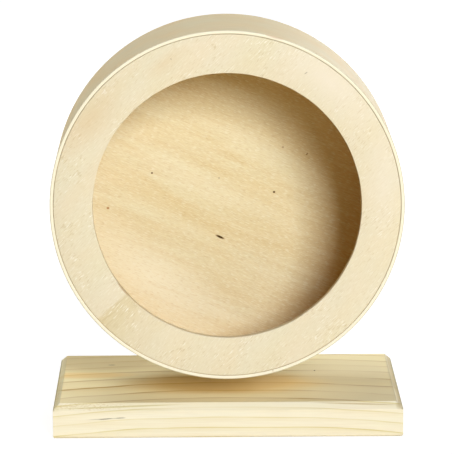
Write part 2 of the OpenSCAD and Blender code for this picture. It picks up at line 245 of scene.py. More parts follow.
def revolve_group():
    """Revolves a profile, drawn as radius along X and place along Z, about the Z axis.

    A gap above zero leaves it open there. The two ends are then cut at a slope from the radius.
    """
    tree, given = start_group(
        "GeometryNodeTree",
        "revolve profile",
        {
            "Profile": ("Geometry", None),
            "Segments": ("Int", 96),
            "Gap": ("Float", 0.0),
            "Gap place": ("Float", 0.0),
            "Slope": ("Float", 0.0),
            "Middle radius": ("Float", 1.0),
        },
        {"Mesh": "Geometry"},
    )
    size = add(tree, "GeometryNodeAttributeDomainSize", {"Geometry": given["Profile"]}, component="MESH")
    columns = add(tree, "FunctionNodeIntegerMath", {0: given["Segments"], 1: 1}, operation="ADD")
    grid = add(tree, "GeometryNodeMeshGrid", {"Vertices X": columns, "Vertices Y": size})
    index = add(tree, "GeometryNodeInputIndex")
    row = add(tree, "FunctionNodeIntegerMath", {0: index, 1: size}, operation="MODULO")
    column = add(tree, "FunctionNodeIntegerMath", {0: index, 1: size}, operation="DIVIDE")
    point = add(
        tree,
        "GeometryNodeSampleIndex",
        {"Geometry": given["Profile"], "Value": add(tree, "GeometryNodeInputPosition"), "Index": row},
        data_type="FLOAT_VECTOR",
    )
    place = add(tree, SPLIT, {0: point}).node.outputs
    share = add(tree, MATH, {0: column, 1: given["Segments"]}, operation="DIVIDE")
    sweep = add(tree, MATH, {0: math.tau, 1: given["Gap"]}, operation="SUBTRACT")
    turned = add(tree, MATH, {0: share, 1: sweep, 2: given["Gap place"]}, operation="MULTIPLY_ADD")
    begun = add(tree, MATH, {0: given["Gap"], 1: 0.5, 2: turned}, operation="MULTIPLY_ADD")
    beyond = add(tree, MATH, {0: place["X"], 1: given["Middle radius"]}, operation="SUBTRACT")
    lean = add(tree, MATH, {0: beyond, 1: given["Middle radius"]}, operation="DIVIDE")
    tangent = add(tree, MATH, {0: given["Slope"]}, operation="TANGENT")
    theta = add(tree, MATH, {0: lean, 1: tangent, 2: begun}, operation="MULTIPLY_ADD")
    cosine = add(tree, MATH, {0: theta}, operation="COSINE")
    sine = add(tree, MATH, {0: theta}, operation="SINE")
    across = add(tree, MATH, {0: place["X"], 1: cosine}, operation="MULTIPLY")
    deep = add(tree, MATH, {0: place["X"], 1: sine}, operation="MULTIPLY")
    position = add(tree, JOIN, {0: across, 1: deep, 2: place["Z"]})
    shaped = add(tree, "GeometryNodeSetPosition", {"Geometry": grid, "Position": position})
    merged = add(tree, "GeometryNodeMergeByDistance", {"Geometry": shaped, "Distance": 0.001 * MM})
    add(tree, "NodeGroupOutput", {"Mesh": merged})
    return tree


COPIES = {
    "Copies": ("Int", 1),
    "Circle radius": ("Float", 0.0),
    "First angle": ("Float", 0.0),
    "Spacing": ("Float", 0.0),
    "Flip": ("Float", 0.0),
    "Place": ("Vector", None),
    "Tilt": ("Float", -math.pi / 2),
}


def copies_group():
    """Sets copies of a shape on a circle about Z, then turns and moves the circle to its place."""
    tree, given = start_group(
        "GeometryNodeTree",
        "copies round an axis",
        {"Shape": ("Geometry", None), **COPIES},
        {"Geometry": "Geometry"},
    )
    number = add(tree, "GeometryNodeInputIndex")
    share = add(tree, MATH, {0: number, 1: given["Copies"]}, operation="DIVIDE")
    theta = add(tree, MATH, {0: share, 1: math.tau, 2: given["First angle"]}, operation="MULTIPLY_ADD")
    across = add(tree, MATH, {0: theta}, operation="COSINE")
    deep = add(tree, MATH, {0: theta}, operation="SINE")
    unit = add(tree, JOIN, {0: across, 1: deep})
    spot = add(tree, VECTOR, {0: unit, "Scale": given["Circle radius"]}, operation="SCALE")
    rise = add(tree, MATH, {0: number, 1: given["Spacing"]}, operation="MULTIPLY")
    lifted = add(tree, VECTOR, {0: spot, 1: add(tree, JOIN, {2: rise})}, operation="ADD")
    points = add(tree, "GeometryNodePoints", {"Count": given["Copies"], "Position": lifted})
    over = add(tree, MATH, {0: number, 1: given["Flip"]}, operation="MULTIPLY")
    turned = add(tree, JOIN, {0: over})
    feeds = {"Points": points, "Instance": given["Shape"], "Rotation": turned}
    placed = add(tree, "GeometryNodeInstanceOnPoints", feeds)
    tilt = add(tree, JOIN, {0: given["Tilt"]})
    feeds = {"Geometry": placed, "Translation": given["Place"], "Rotation": tilt}
    moved = add(tree, "GeometryNodeTransform", feeds)
    add(tree, "NodeGroupOutput", {"Geometry": moved})
    return tree


def start_piece_tree(name, inputs):
    """Tree of a piece that is revolved from its own profile, with its inputs by name."""
    profile = {"Geometry": ("Geometry", None), "Segments": ("Int", 96)}
    sockets = {**profile, **inputs, **COPIES, "Material": ("Material", None)}
    return start_group("GeometryNodeTree", name, sockets, {"Geometry": "Geometry"})


def end_piece_tree(tree, given, shape):
    """Places the copies, realizes them and sets the material."""
    feeds = {"Shape": shape, **{label: given[label] for label in COPIES}}
    copies = bpy.data.node_groups["copies round an axis"]
    placed = add(tree, "GeometryNodeGroup", feeds, node_tree=copies)
    real = add(tree, "GeometryNodeRealizeInstances", {"Geometry": placed})
    finished = add(tree, "GeometryNodeSetMaterial", {"Geometry": real, "Material": given["Material"]})
    add(tree, "NodeGroupOutput", {"Geometry": finished})
    return tree


def pushed_out(tree, mesh, amount):
    """Moves a revolved mesh's points away from its axis by an amount."""
    position = add(tree, "GeometryNodeInputPosition")
    flat = add(tree, VECTOR, {0: position, 1: (1, 1, 0)}, operation="MULTIPLY")
    outwards = add(tree, VECTOR, {0: flat}, operation="NORMALIZE")
    offset = add(tree, VECTOR, {0: outwards, "Scale": amount}, operation="SCALE")
    return add(tree, "GeometryNodeSetPosition", {"Geometry": mesh, "Offset": offset})


def axial_place(tree):
    """Place of a revolved mesh's points by parts, their turn about its axis and their distance from it."""
    position = add(tree, "GeometryNodeInputPosition")
    parts = add(tree, SPLIT, {0: position}).node.outputs
    theta = add(tree, MATH, {0: parts["Y"], 1: parts["X"]}, operation="ARCTAN2")
    flat = add(tree, VECTOR, {0: position, 1: (1, 1, 0)}, operation="MULTIPLY")
    radius = add(tree, VECTOR, {0: flat}, operation="LENGTH").node.outputs["Value"]
    return parts, theta, radius


def band_tree():
    """Bent band: a profile carried round from one end to the other, with torn skin at its edge."""
    tree, given = start_piece_tree(
        "bent band",
        {
            "Seam place": ("Float", 0.0),
            "Seam gap": ("Float", 0.0),
            "Seam slope": ("Float", 0.0),
            "Middle radius": ("Float", 0.1),
            "Torn place": ("Float", 0.0),
            "Torn length": ("Float", 0.01),
            "Torn width": ("Float", 0.001),
            "Torn depth": ("Float", 0.0003),
        },
    )
    gap = add(tree, MATH, {0: given["Seam gap"], 1: given["Middle radius"]}, operation="DIVIDE")
    feeds = {
        "Profile": given["Geometry"],
        "Segments": given["Segments"],
        "Gap": gap,
        "Gap place": given["Seam place"],
        "Slope": given["Seam slope"],
        "Middle radius": given["Middle radius"],
    }
    body = add(tree, "GeometryNodeGroup", feeds, node_tree=bpy.data.node_groups["revolve profile"])
    parts, theta, radius = axial_place(tree)
    aside = add(tree, MATH, {0: theta, 1: given["Torn place"]}, operation="SUBTRACT")
    wrapped = add(tree, MATH, {0: aside, 1: math.pi, 2: -math.pi}, operation="WRAP")
    along = add(tree, MATH, {0: wrapped, 1: given["Middle radius"]}, operation="MULTIPLY")
    half = add(tree, MATH, {0: given["Torn length"], 1: 0.5}, operation="MULTIPLY")
    share = add(tree, MATH, {0: along, 1: half}, operation="DIVIDE")
    bow = add(tree, MATH, {0: share, 1: share}, operation="MULTIPLY")
    left = add(tree, MATH, {0: 1.0, 1: bow}, operation="SUBTRACT")
    splinters_per_metre = 700.0
    feeds = {"W": along, "Scale": splinters_per_metre, "Detail": 3.0}
    ragged = add(tree, NOISE, feeds, noise_dimensions="1D")
    uneven = add(tree, MATH, {0: ragged, 1: 0.5}, operation="ADD")
    strip = add(tree, MATH, {0: left, 1: uneven}, operation="MULTIPLY")
    edge = add(tree, MATH, {0: strip, 1: given["Torn width"]}, operation="MULTIPLY")
    inside = add(tree, MATH, {0: edge, 1: parts["Z"]}, operation="SUBTRACT")
    torn = add(tree, RANGE, {"Value": inside, "From Min": 0.0, "From Max": 0.25 * MM})
    skin = add(tree, MATH, {0: radius, 1: given["Middle radius"]}, operation="GREATER_THAN")
    bared = add(tree, MATH, {0: torn, 1: skin}, operation="MULTIPLY")
    deep = add(tree, MATH, {0: bared, 1: given["Torn depth"]}, operation="MULTIPLY")
    inwards = add(tree, MATH, {0: deep, 1: -1.0}, operation="MULTIPLY")
    return end_piece_tree(tree, given, pushed_out(tree, body, inwards))


def turned_tree():
    """Turned piece, with the slight waves that sanding by hand leaves and flutes where it has them."""
    tree, given = start_piece_tree(
        "turned piece",
        {
            "Wave": ("Float", 0.0),
            "Wave length": ("Float", 0.02),
            "Wave within": ("Float", 0.0),
            "Flutes": ("Int", 0),
            "Flute depth": ("Float", 0.0),
            "Seed": ("Float", 1.0),
        },
    )
    feeds = {"Profile": given["Geometry"], "Segments": given["Segments"]}
    body = add(tree, "GeometryNodeGroup", feeds, node_tree=bpy.data.node_groups["revolve profile"])
    theta, radius = axial_place(tree)[1:]
    position = add(tree, "GeometryNodeInputPosition")
    scale = add(tree, MATH, {0: 1.0, 1: given["Wave length"]}, operation="DIVIDE")
    feeds = {"Vector": position, "W": given["Seed"], "Scale": scale, "Detail": 4.0}
    noise = add(tree, NOISE, feeds, noise_dimensions="4D")
    even = add(tree, RANGE, {"Value": noise, **SPREAD, "To Min": -1.0, "To Max": 1.0})
    inner = add(tree, MATH, {0: radius, 1: given["Wave within"]}, operation="LESS_THAN")
    wave = add(tree, MATH, {0: even, 1: given["Wave"]}, operation="MULTIPLY")
    strayed = add(tree, MATH, {0: wave, 1: inner}, operation="MULTIPLY")
    turns = add(tree, MATH, {0: theta, 1: given["Flutes"]}, operation="MULTIPLY")
    ripple = add(tree, MATH, {0: turns}, operation="COSINE")
    flute = add(tree, MATH, {0: ripple, 1: 0.0}, operation="MAXIMUM")
    cut = add(tree, MATH, {0: flute, 1: given["Flute depth"]}, operation="MULTIPLY")
    outwards = add(tree, MATH, {0: strayed, 1: cut}, operation="SUBTRACT")
    return end_piece_tree(tree, given, pushed_out(tree, body, outwards))


def fastener_tree():
    """Bolt or screw: a revolved blank, with its head cut to a hexagon and a thread cut into its shank."""
    tree, given = start_piece_tree(
        "threaded fastener",
        {
            "Flats": ("Float", 1.0),
            "Head from": ("Float", 1.0),
            "Thread from": ("Float", 0.0),
            "Thread to": ("Float", 0.0),
            "Pitch": ("Float", 0.001),
            "Depth": ("Float", 0.0),
            "Sharpness": ("Float", 1.0),
            "Shank radius": ("Float", 0.001),
            "Recess place": ("Float", 0.0),
            "Recess reach": ("Float", 0.0),
            "Recess width": ("Float", 0.0),
            "Recess depth": ("Float", 0.0),
        },
    )
    feeds = {"Profile": given["Geometry"], "Segments": given["Segments"]}
    body = add(tree, "GeometryNodeGroup", feeds, node_tree=bpy.data.node_groups["revolve profile"])
    parts, theta, radius = axial_place(tree)
    sixth = math.tau / 6
    folded = add(tree, MATH, {0: theta, 1: sixth / 2, 2: -sixth / 2}, operation="WRAP")
    half = add(tree, MATH, {0: given["Flats"], 1: 0.5}, operation="MULTIPLY")
    level = add(tree, MATH, {0: folded}, operation="COSINE")
    side = add(tree, MATH, {0: half, 1: level}, operation="DIVIDE")
    over = add(tree, MATH, {0: radius, 1: side}, operation="SUBTRACT")
    excess = add(tree, MATH, {0: over, 1: 0.0}, operation="MAXIMUM")
    in_head = add(tree, MATH, {0: parts["Z"], 1: given["Head from"]}, operation="GREATER_THAN")
    head_cut = add(tree, MATH, {0: excess, 1: in_head}, operation="MULTIPLY")
    rise = add(tree, MATH, {0: parts["Z"], 1: given["Pitch"]}, operation="DIVIDE")
    lag = add(tree, MATH, {0: theta, 1: -1 / math.tau, 2: rise}, operation="MULTIPLY_ADD")
    phase = add(tree, MATH, {0: lag}, operation="FRACT")
    centred = add(tree, MATH, {0: phase, 1: 2.0, 2: -1.0}, operation="MULTIPLY_ADD")
    slope = add(tree, MATH, {0: centred}, operation="ABSOLUTE")
    steep = add(tree, MATH, {0: slope, 1: given["Sharpness"]}, operation="MULTIPLY")
    groove = add(tree, MATH, {0: steep, 1: 1.0}, operation="MINIMUM")
    begin = add(tree, MATH, {0: parts["Z"], 1: given["Thread from"]}, operation="SUBTRACT")
    fade_in = add(tree, MATH, {0: begin, 1: given["Pitch"]}, operation="DIVIDE", use_clamp=True)
    finish = add(tree, MATH, {0: given["Thread to"], 1: parts["Z"]}, operation="SUBTRACT")
    fade_out = add(tree, MATH, {0: finish, 1: given["Pitch"]}, operation="DIVIDE", use_clamp=True)
    within = add(tree, MATH, {0: fade_in, 1: fade_out}, operation="MULTIPLY")
    slender = add(tree, MATH, {0: radius, 1: given["Shank radius"]}, operation="DIVIDE", use_clamp=True)
    deep = add(tree, MATH, {0: given["Depth"], 1: slender}, operation="MULTIPLY")
    kept = add(tree, MATH, {0: groove, 1: within}, operation="MULTIPLY")
    cut = add(tree, MATH, {0: kept, 1: deep}, operation="MULTIPLY")
    both = add(tree, MATH, {0: head_cut, 1: cut}, operation="ADD")
    inwards = add(tree, MATH, {0: both, 1: -1.0}, operation="MULTIPLY")
    threaded = pushed_out(tree, body, inwards)
    tall = add(tree, MATH, {0: given["Recess depth"], 1: 2.0}, operation="MULTIPLY")
    wide = add(tree, MATH, {0: given["Recess reach"], 1: 2.0}, operation="MULTIPLY")
    narrow = given["Recess width"]
    # An arm of the recess narrows from its top to its floor, as shares of the size that is given.
    floor_share = 0.5
    top_more = 0.6
    arms = []
    for across, deep in ((wide, narrow), (narrow, wide)):
        size = add(tree, JOIN, {0: across, 1: deep, 2: tall})
        bar = add(tree, "GeometryNodeMeshCube", {"Size": size})
        here = add(tree, "GeometryNodeInputPosition")
        corner = add(tree, SPLIT, {0: here}).node.outputs
        up = add(tree, MATH, {0: corner["Z"], 1: 0.0}, operation="GREATER_THAN")
        draft = add(tree, MATH, {0: up, 1: top_more, 2: floor_share}, operation="MULTIPLY_ADD")
        even = add(tree, JOIN, {0: draft, 1: draft, 2: 1.0})
        tapered = add(tree, VECTOR, {0: here, 1: even}, operation="MULTIPLY")
        shaped = add(tree, "GeometryNodeSetPosition", {"Geometry": bar, "Position": tapered})
        place = add(tree, JOIN, {2: given["Recess place"]})
        arms.append(add(tree, "GeometryNodeTransform", {"Geometry": shaped, "Translation": place}))
    feeds = {"Mesh 1": threaded, "Mesh 2": arms[0]}
    driven = add(tree, "GeometryNodeMeshBoolean", feeds, operation="DIFFERENCE", solver="EXACT")
    tree.links.new(arms[1], driven.node.inputs["Mesh 2"])
    has_recess = add(tree, MATH, {0: given["Recess depth"], 1: 0.0}, operation="GREATER_THAN")
    choice = {"Switch": has_recess, "False": threaded, "True": driven}
    shape = add(tree, "GeometryNodeSwitch", choice, input_type="GEOMETRY")
    return end_piece_tree(tree, given, shape)


def grow(name, tree_name, profile, values):
    """Runs a tree on a profile and leaves the result as a plain closed mesh at the origin."""
    tree = bpy.data.node_groups[tree_name]
    mesh = bpy.data.meshes.new(name)
    lines = [(i, i + 1) for i in range(len(profile) - 1)]
    mesh.from_pydata([(r, 0, z) for r, z in profile], lines, [])
    piece = bpy.data.objects.new(name, mesh)
    bpy.context.scene.collection.objects.link(piece)
    modifier = piece.modifiers.new("Shape", "NODES")
    modifier.node_group = tree
    names = {s.name: s.identifier for s in tree.interface.items_tree if s.in_out == "INPUT"}
    for label, value in values.items():
        modifier[names[label]] = value
    shaped = piece.evaluated_get(bpy.context.evaluated_depsgraph_get())
    result = bpy.data.meshes.new_from_object(shaped)
    piece.modifiers.remove(modifier)
    piece.data = result
    built = bmesh.new()
    built.from_mesh(result)
    bmesh.ops.dissolve_degenerate(built, edges=built.edges, dist=0.0001 * MM)
    open_edges = [e for e in built.edges if e.is_boundary]
    bmesh.ops.holes_fill(built, edges=open_edges)
    bmesh.ops.recalc_face_normals(built, faces=built.faces)
    for face in built.faces:
        face.smooth = True
    built.to_mesh(result)
    built.free()
    crease = math.radians(32)
    result.set_sharp_from_angle(angle=crease)
    return piece


def settle(piece, body, slot, *nodes):
    """Lets a finished piece ride on its body in place of the nodes that it stands for."""
    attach(piece, body)
    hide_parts(*nodes)


def dress(node, material):
    """Gives a model node its material."""
    slots = frame["nodes"][node].data.materials
    slots.clear()
    slots.append(material)


def eased_section(inner, outer, deep, ease, rows=(), steps=4):
    """Closed section of a ring, from 0 to its depth, with round corners and extra rows on both walls."""
    corners = [
        (outer - ease, ease, -90),
        (outer - ease, deep - ease, 0),
        (inner + ease, deep - ease, 90),
        (inner + ease, ease, 180),
    ]
    points = []
    for number, (r, z, begin) in enumerate(corners):
        for step in range(steps + 1):
            turn = math.radians(begin + 90 * step / steps)
            points.append((r + ease * math.cos(turn), z + ease * math.sin(turn)))
        if number == 0:
            points += [(outer, row) for row in rows]
        if number == 2:
            points += [(inner, row) for row in reversed(rows)]
    return points + points[:1]


def even_rows(first, last, spacing):
    """Places from first to last, spaced evenly and about as asked."""
    count = max(1, round(abs(last - first) / spacing))
    return [first + (last - first) * i / count for i in range(count + 1)]


def place_mm(tree, centre=(0, 0, 0), turn=(0, 0, 0)):
    """Place on the piece in millimetres from a centre, along axes turned by these degrees."""
    local = add(tree, "ShaderNodeTexCoord").node.outputs["Object"]
    turned = [math.radians(a) for a in turn]
    feeds = {"Vector": local, "Location": centre, "Rotation": turned, "Scale": (MM, MM, MM)}
    return add(tree, MAPPING, feeds, vector_type="TEXTURE")


def wood_face_group():
    """Grain of a wood face that runs along X: its colour, and its height from 0 to 1."""
    tree, given = start_group(
        "ShaderNodeTree",
        "wood face",
        {
            "Place": ("Vector", None),
            "Base": ("Color", None),
            "Shade": ("Color", None),
            "Tint": ("Color", None),
            "Blush": ("Color", linear("#f0d6b8")),
            "Pore": ("Color", linear("#b58f5e")),
            "Streak size": ("Vector", (60, 6, 6)),
            "Fibre size": ("Vector", (18, 0.8, 0.8)),
            "Cloud size": ("Vector", (45, 30, 30)),
            "Streaks": ("Float", 0.5),
            "Fibres": ("Float", 0.3),
            "Clouds": ("Float", 0.3),
            "Blushes": ("Float", 0.0),
        },
        {"Color": "Color", "Height": "Float"},
    )
    # Real fibres and pores are some hundredths of a millimetre wide. They are drawn at 0.35 mm and more
    # to show.
    layers = (
        ("Streaks", "Streak size", "Shade", 2.5, 0.2),
        ("Clouds", "Cloud size", "Tint", 1.5, 0.2),
        ("Blushes", "Cloud size", "Blush", 1.0, 0.2),
        ("Fibres", "Fibre size", "Pore", 2.0, 0.12),
    )
    share = {}
    colour_out = given["Base"]
    for seed, (strength, size, other, detail, spread) in enumerate(layers):
        spaced = add(tree, VECTOR, {0: given["Place"], 1: given[size]}, operation="DIVIDE")
        feeds = {"Vector": spaced, "W": 7.0 * seed, "Scale": 1.0, "Detail": detail, "Roughness": 0.5}
        noise = add(tree, NOISE, feeds, noise_dimensions="4D")
        even = add(tree, RANGE, {"Value": noise, "From Min": 0.5 - spread, "From Max": 0.5 + spread})
        share[strength] = add(tree, MATH, {0: even, 1: given[strength]}, operation="MULTIPLY")
        feeds = {"Factor": share[strength], "A": colour_out, "B": given[other]}
        colour_out = add(tree, MIX, feeds, data_type="RGBA")
    height = add(tree, MATH, {0: share["Fibres"], 1: 0.5, 2: share["Streaks"]}, operation="MULTIPLY_ADD")
    add(tree, "NodeGroupOutput", {"Color": colour_out, "Height": height})
    return tree


def growth_rings_group():
    """Growth rings cut by a board that runs along X: 1 on the late wood's dark line, 0 in the early wood."""
    tree, given = start_group(
        "ShaderNodeTree",
        "growth rings",
        {
            "Place": ("Vector", None),
            "Pith": ("Vector", None),
            "Ring width": ("Float", 4.0),
            "Bow left": ("Float", 0.0),
            "Bow right": ("Float", 0.0),
            "Waver": ("Float", 0.8),
            "Waver size": ("Vector", (90, 30, 30)),
            "Line length": ("Vector", (50, 12, 12)),
        },
        {"Late": "Float"},
    )
    away = add(tree, VECTOR, {0: given["Place"], 1: given["Pith"]}, operation="SUBTRACT")
    across = add(tree, VECTOR, {0: away, 1: (0, 1, 1)}, operation="MULTIPLY")
    radius = add(tree, VECTOR, {0: across}, operation="LENGTH").node.outputs["Value"]
    along = add(tree, SPLIT, {0: away})
    square = add(tree, MATH, {0: along, 1: along}, operation="MULTIPLY")
    rightwards = add(tree, MATH, {0: along, 1: 0.0}, operation="GREATER_THAN")
    feeds = {"Factor": rightwards, "A": given["Bow left"], "B": given["Bow right"]}
    bow = add(tree, MIX, feeds, data_type="FLOAT")
    bowed = add(tree, MATH, {0: square, 1: bow, 2: radius}, operation="MULTIPLY_ADD")
    spaced = add(tree, VECTOR, {0: given["Place"], 1: given["Waver size"]}, operation="DIVIDE")
    noise = add(tree, NOISE, {"Vector": spaced, "Scale": 1.0, "Detail": 2.0})
    even = add(tree, RANGE, {"Value": noise, **SPREAD, "To Min": -1.0, "To Max": 1.0})
    grown = add(tree, MATH, {0: even, 1: given["Waver"], 2: bowed}, operation="MULTIPLY_ADD")
    years = add(tree, MATH, {0: grown, 1: given["Ring width"]}, operation="DIVIDE")
    season = add(tree, MATH, {0: years}, operation="FRACT")
    # Shares of a ring's width between which the wood ripens, its dark line rises and the line ends.
    shades = []
    for begin, end in ((0.2, 0.9), (0.82, 0.92), (1.0, 0.94)):
        feeds = {"Value": season, "From Min": begin, "From Max": end}
        shades.append(add(tree, RANGE, feeds, interpolation_type="SMOOTHSTEP"))
    ripening, line, ended = shades
    ripe = add(tree, MATH, {0: ripening, 1: 0.7}, operation="MULTIPLY")
    darkened = add(tree, MATH, {0: line, 1: 2.0, 2: ripe}, operation="MULTIPLY_ADD")
    late = add(tree, MATH, {0: darkened, 1: ended}, operation="MULTIPLY")
    year = add(tree, MATH, {0: years}, operation="FLOOR")
    luck = add(tree, "ShaderNodeTexWhiteNoise", {"W": year}, noise_dimensions="1D")
    strength = add(tree, RANGE, {"Value": luck, "To Min": 0.2, "To Max": 0.4})
    stretched = add(tree, VECTOR, {0: given["Place"], 1: given["Line length"]}, operation="DIVIDE")
    broken = add(tree, NOISE, {"Vector": stretched, "Scale": 1.0, "Detail": 2.0})
    feeds = {"Value": broken, "From Min": 0.35, "From Max": 0.6, "To Min": 0.45, "To Max": 1.0}
    kept = add(tree, RANGE, feeds)
    shown = add(tree, MATH, {0: strength, 1: kept}, operation="MULTIPLY")
    drawn = add(tree, MATH, {0: late, 1: shown}, operation="MULTIPLY")
    add(tree, "NodeGroupOutput", {"Late": drawn})
    return tree


def worn_edge_group():
    """1 on a sharp or narrowly rounded edge and 0 on the faces beside it."""
    tree = start_group("ShaderNodeTree", "worn edge", {}, {"Worn": "Float"})[0]
    rounded = add(tree, "ShaderNodeBevel", {"Radius": 0.5 * MM}, samples=4)
    flat = add(tree, "ShaderNodeNewGeometry").node.outputs["True Normal"]
    level = add(tree, VECTOR, {0: rounded, 1: flat}, operation="DOT_PRODUCT").node.outputs["Value"]
    turned = add(tree, MATH, {0: 1.0, 1: level}, operation="SUBTRACT")
    worn = add(tree, RANGE, {"Value": turned, "From Min": 0.02, "From Max": 0.25})
    add(tree, "NodeGroupOutput", {"Worn": worn})
    return tree


def start_material(name):
    """New material with an empty tree."""
    material = bpy.data.materials.new(name)
    material.use_nodes = True
    material.node_tree.nodes.clear()
    return material, material.node_tree


def end_material(tree, feeds, height, relief):
    """Principled surface with eased edges and a bump of this relief in metres, and the material's output."""
    eased = add(tree, "ShaderNodeBevel", {"Radius": 0.4 * MM}, samples=6)
    swell = {"Height": height, "Distance": relief, "Strength": 1.0, "Normal": eased}
    bump = add(tree, "ShaderNodeBump", swell)
    surface = add(tree, "ShaderNodeBsdfPrincipled", {"Normal": bump, **feeds})
    add(tree, "ShaderNodeOutputMaterial", {"Surface": surface})


def marks(tree, place, spots, core=0.55):
    """Mask of marks, each with a middle, half sizes, a turn in degrees and a strength that its core has."""
    mask = 0.0
    for middle, half, turn, strength in spots:
        turned = [math.radians(a) for a in turn]
        feeds = {"Vector": place, "Location": middle, "Rotation": turned, "Scale": half}
        spot = add(tree, MAPPING, feeds, vector_type="TEXTURE")
        far = add(tree, VECTOR, {0: spot}, operation="LENGTH").node.outputs["Value"]
        near = add(tree, RANGE, {"Value": far, "From Min": 1.0, "From Max": core, "To Max": strength})
        mask = add(tree, MATH, {0: near, 1: mask}, operation="MAXIMUM")
    return mask


def coated(tree, base, *coats, blend="MIX"):
    """Lays coats over a base colour in turn. A coat is a mask, the share of it that shows and a colour."""
    for mask, share, coat in coats:
        shown = add(tree, MATH, {0: mask, 1: share}, operation="MULTIPLY")
        tone = linear(coat) if isinstance(coat, str) else coat
        feeds = {"Factor": shown, "A": base, "B": tone}
        base = add(tree, MIX, feeds, data_type="RGBA", blend_type=blend)
    return base


def flecked(tree, place, size, amount, share, base, other):
    """Tints a colour in small flecks of this size. The amount is the part of the noise that shows."""
    spaced = add(tree, VECTOR, {0: place, 1: size}, operation="DIVIDE")
    noise = add(tree, NOISE, {"Vector": spaced, "Scale": 1.0, "Detail": 2.0})
    picked = add(tree, RANGE, {"Value": noise, "From Min": 0.62 - amount, "From Max": 0.7 - amount})
    return coated(tree, base, (picked, share, other))


def facing(tree, axis, begin, end):
    """Goes from 0 to 1 as the surface turns to face this axis from either side."""
    normal = add(tree, "ShaderNodeTexCoord").node.outputs["Normal"]
    level = add(tree, VECTOR, {0: normal, 1: axis}, operation="DOT_PRODUCT").node.outputs["Value"]
    steep = add(tree, MATH, {0: level}, operation="ABSOLUTE")
    feeds = {"Value": steep, "From Min": begin, "From Max": end}
    return add(tree, RANGE, feeds, interpolation_type="SMOOTHSTEP")


def from_axle(tree, place):
    """Distance of a place from the axle, which runs along Y."""
    flat = add(tree, VECTOR, {0: place, 1: (1, 0, 1)}, operation="MULTIPLY")
    return add(tree, VECTOR, {0: flat}, operation="LENGTH").node.outputs["Value"]


def planed_pine(name, woods, centre, turn, grain, broad, rings, tones_and_painted_light, spots, torn):
    """Pine, planed and sanded, bare: pale cream early wood, soft olive lines of late wood, a dull face.

    The growth rings are cut by the board's faces, so that its lines run on over its edges. The broad faces
    are cut nearly along the rings, which bares more late wood, so they are yellower than the narrow ones;
    their warmer tone is also partly painted warm shade, which on the base board lies on its top.
    """
    material, tree = start_material(name)
    place = place_mm(tree, centre, turn)
    lines = bpy.data.node_groups["growth rings"]
    late = add(tree, GROUP, {"Place": place, **rings}, node_tree=lines)
    face = add(
        tree,
        GROUP,
        {
            "Place": place,
            "Base": woods.pine,
            "Shade": linear("#f3e6bd"),
            "Tint": linear("#fdf6e2"),
            "Blush": linear("#fbf1db"),
            "Streak size": (130, 5, 4),
            "Fibre size": (22, 0.7, 0.7),
            "Cloud size": (45, 22, 14),
            "Streaks": 0.4,
            "Fibres": 0.06,
            "Clouds": 0.4,
            "Blushes": 0.4,
        },
        node_tree=bpy.data.node_groups["wood face"],
    ).node.outputs
    # A broad face's tone and line tone are partly painted warm shade: on the base board they lie on its top.
    along_rings = facing(tree, broad, 0.62, 0.98)
    honeyed = coated(tree, face["Color"], (along_rings, 1.0, woods.pine_broad), blend="MULTIPLY")
    line_tone = coated(tree, woods.pine_line, (along_rings, 1.0, woods.pine_broad_line))
    ringed = coated(tree, honeyed, (late, 1.1, line_tone), blend="MULTIPLY")
    end = facing(tree, grain, 0.6, 0.95)
    # Patches of tone: some are the wood's own, others painted light and painted shade.
    tone_and_light_coats = [(marks(tree, place, places), 1.0, code) for code, places in tones_and_painted_light.items()]
    toned_and_lit = coated(tree, ringed, (end, 0.45, "#cdb68a"), *tone_and_light_coats)
    torn_share = marks(tree, place, torn)
    roughened = flecked(tree, place, (1.2, 0.8, 0.6), 0.12, torn_share, toned_and_lit, "#cdb478")
    marked = coated(tree, roughened, (marks(tree, place, spots), 1.0, woods.bark))
    height = add(tree, MATH, {0: late, 1: 0.5, 2: face["Height"]}, operation="MULTIPLY_ADD")
    end_material(tree, {"Base Color": marked, "Roughness": 0.72, **BARE_WOOD}, height, 0.04 * MM)
    return material


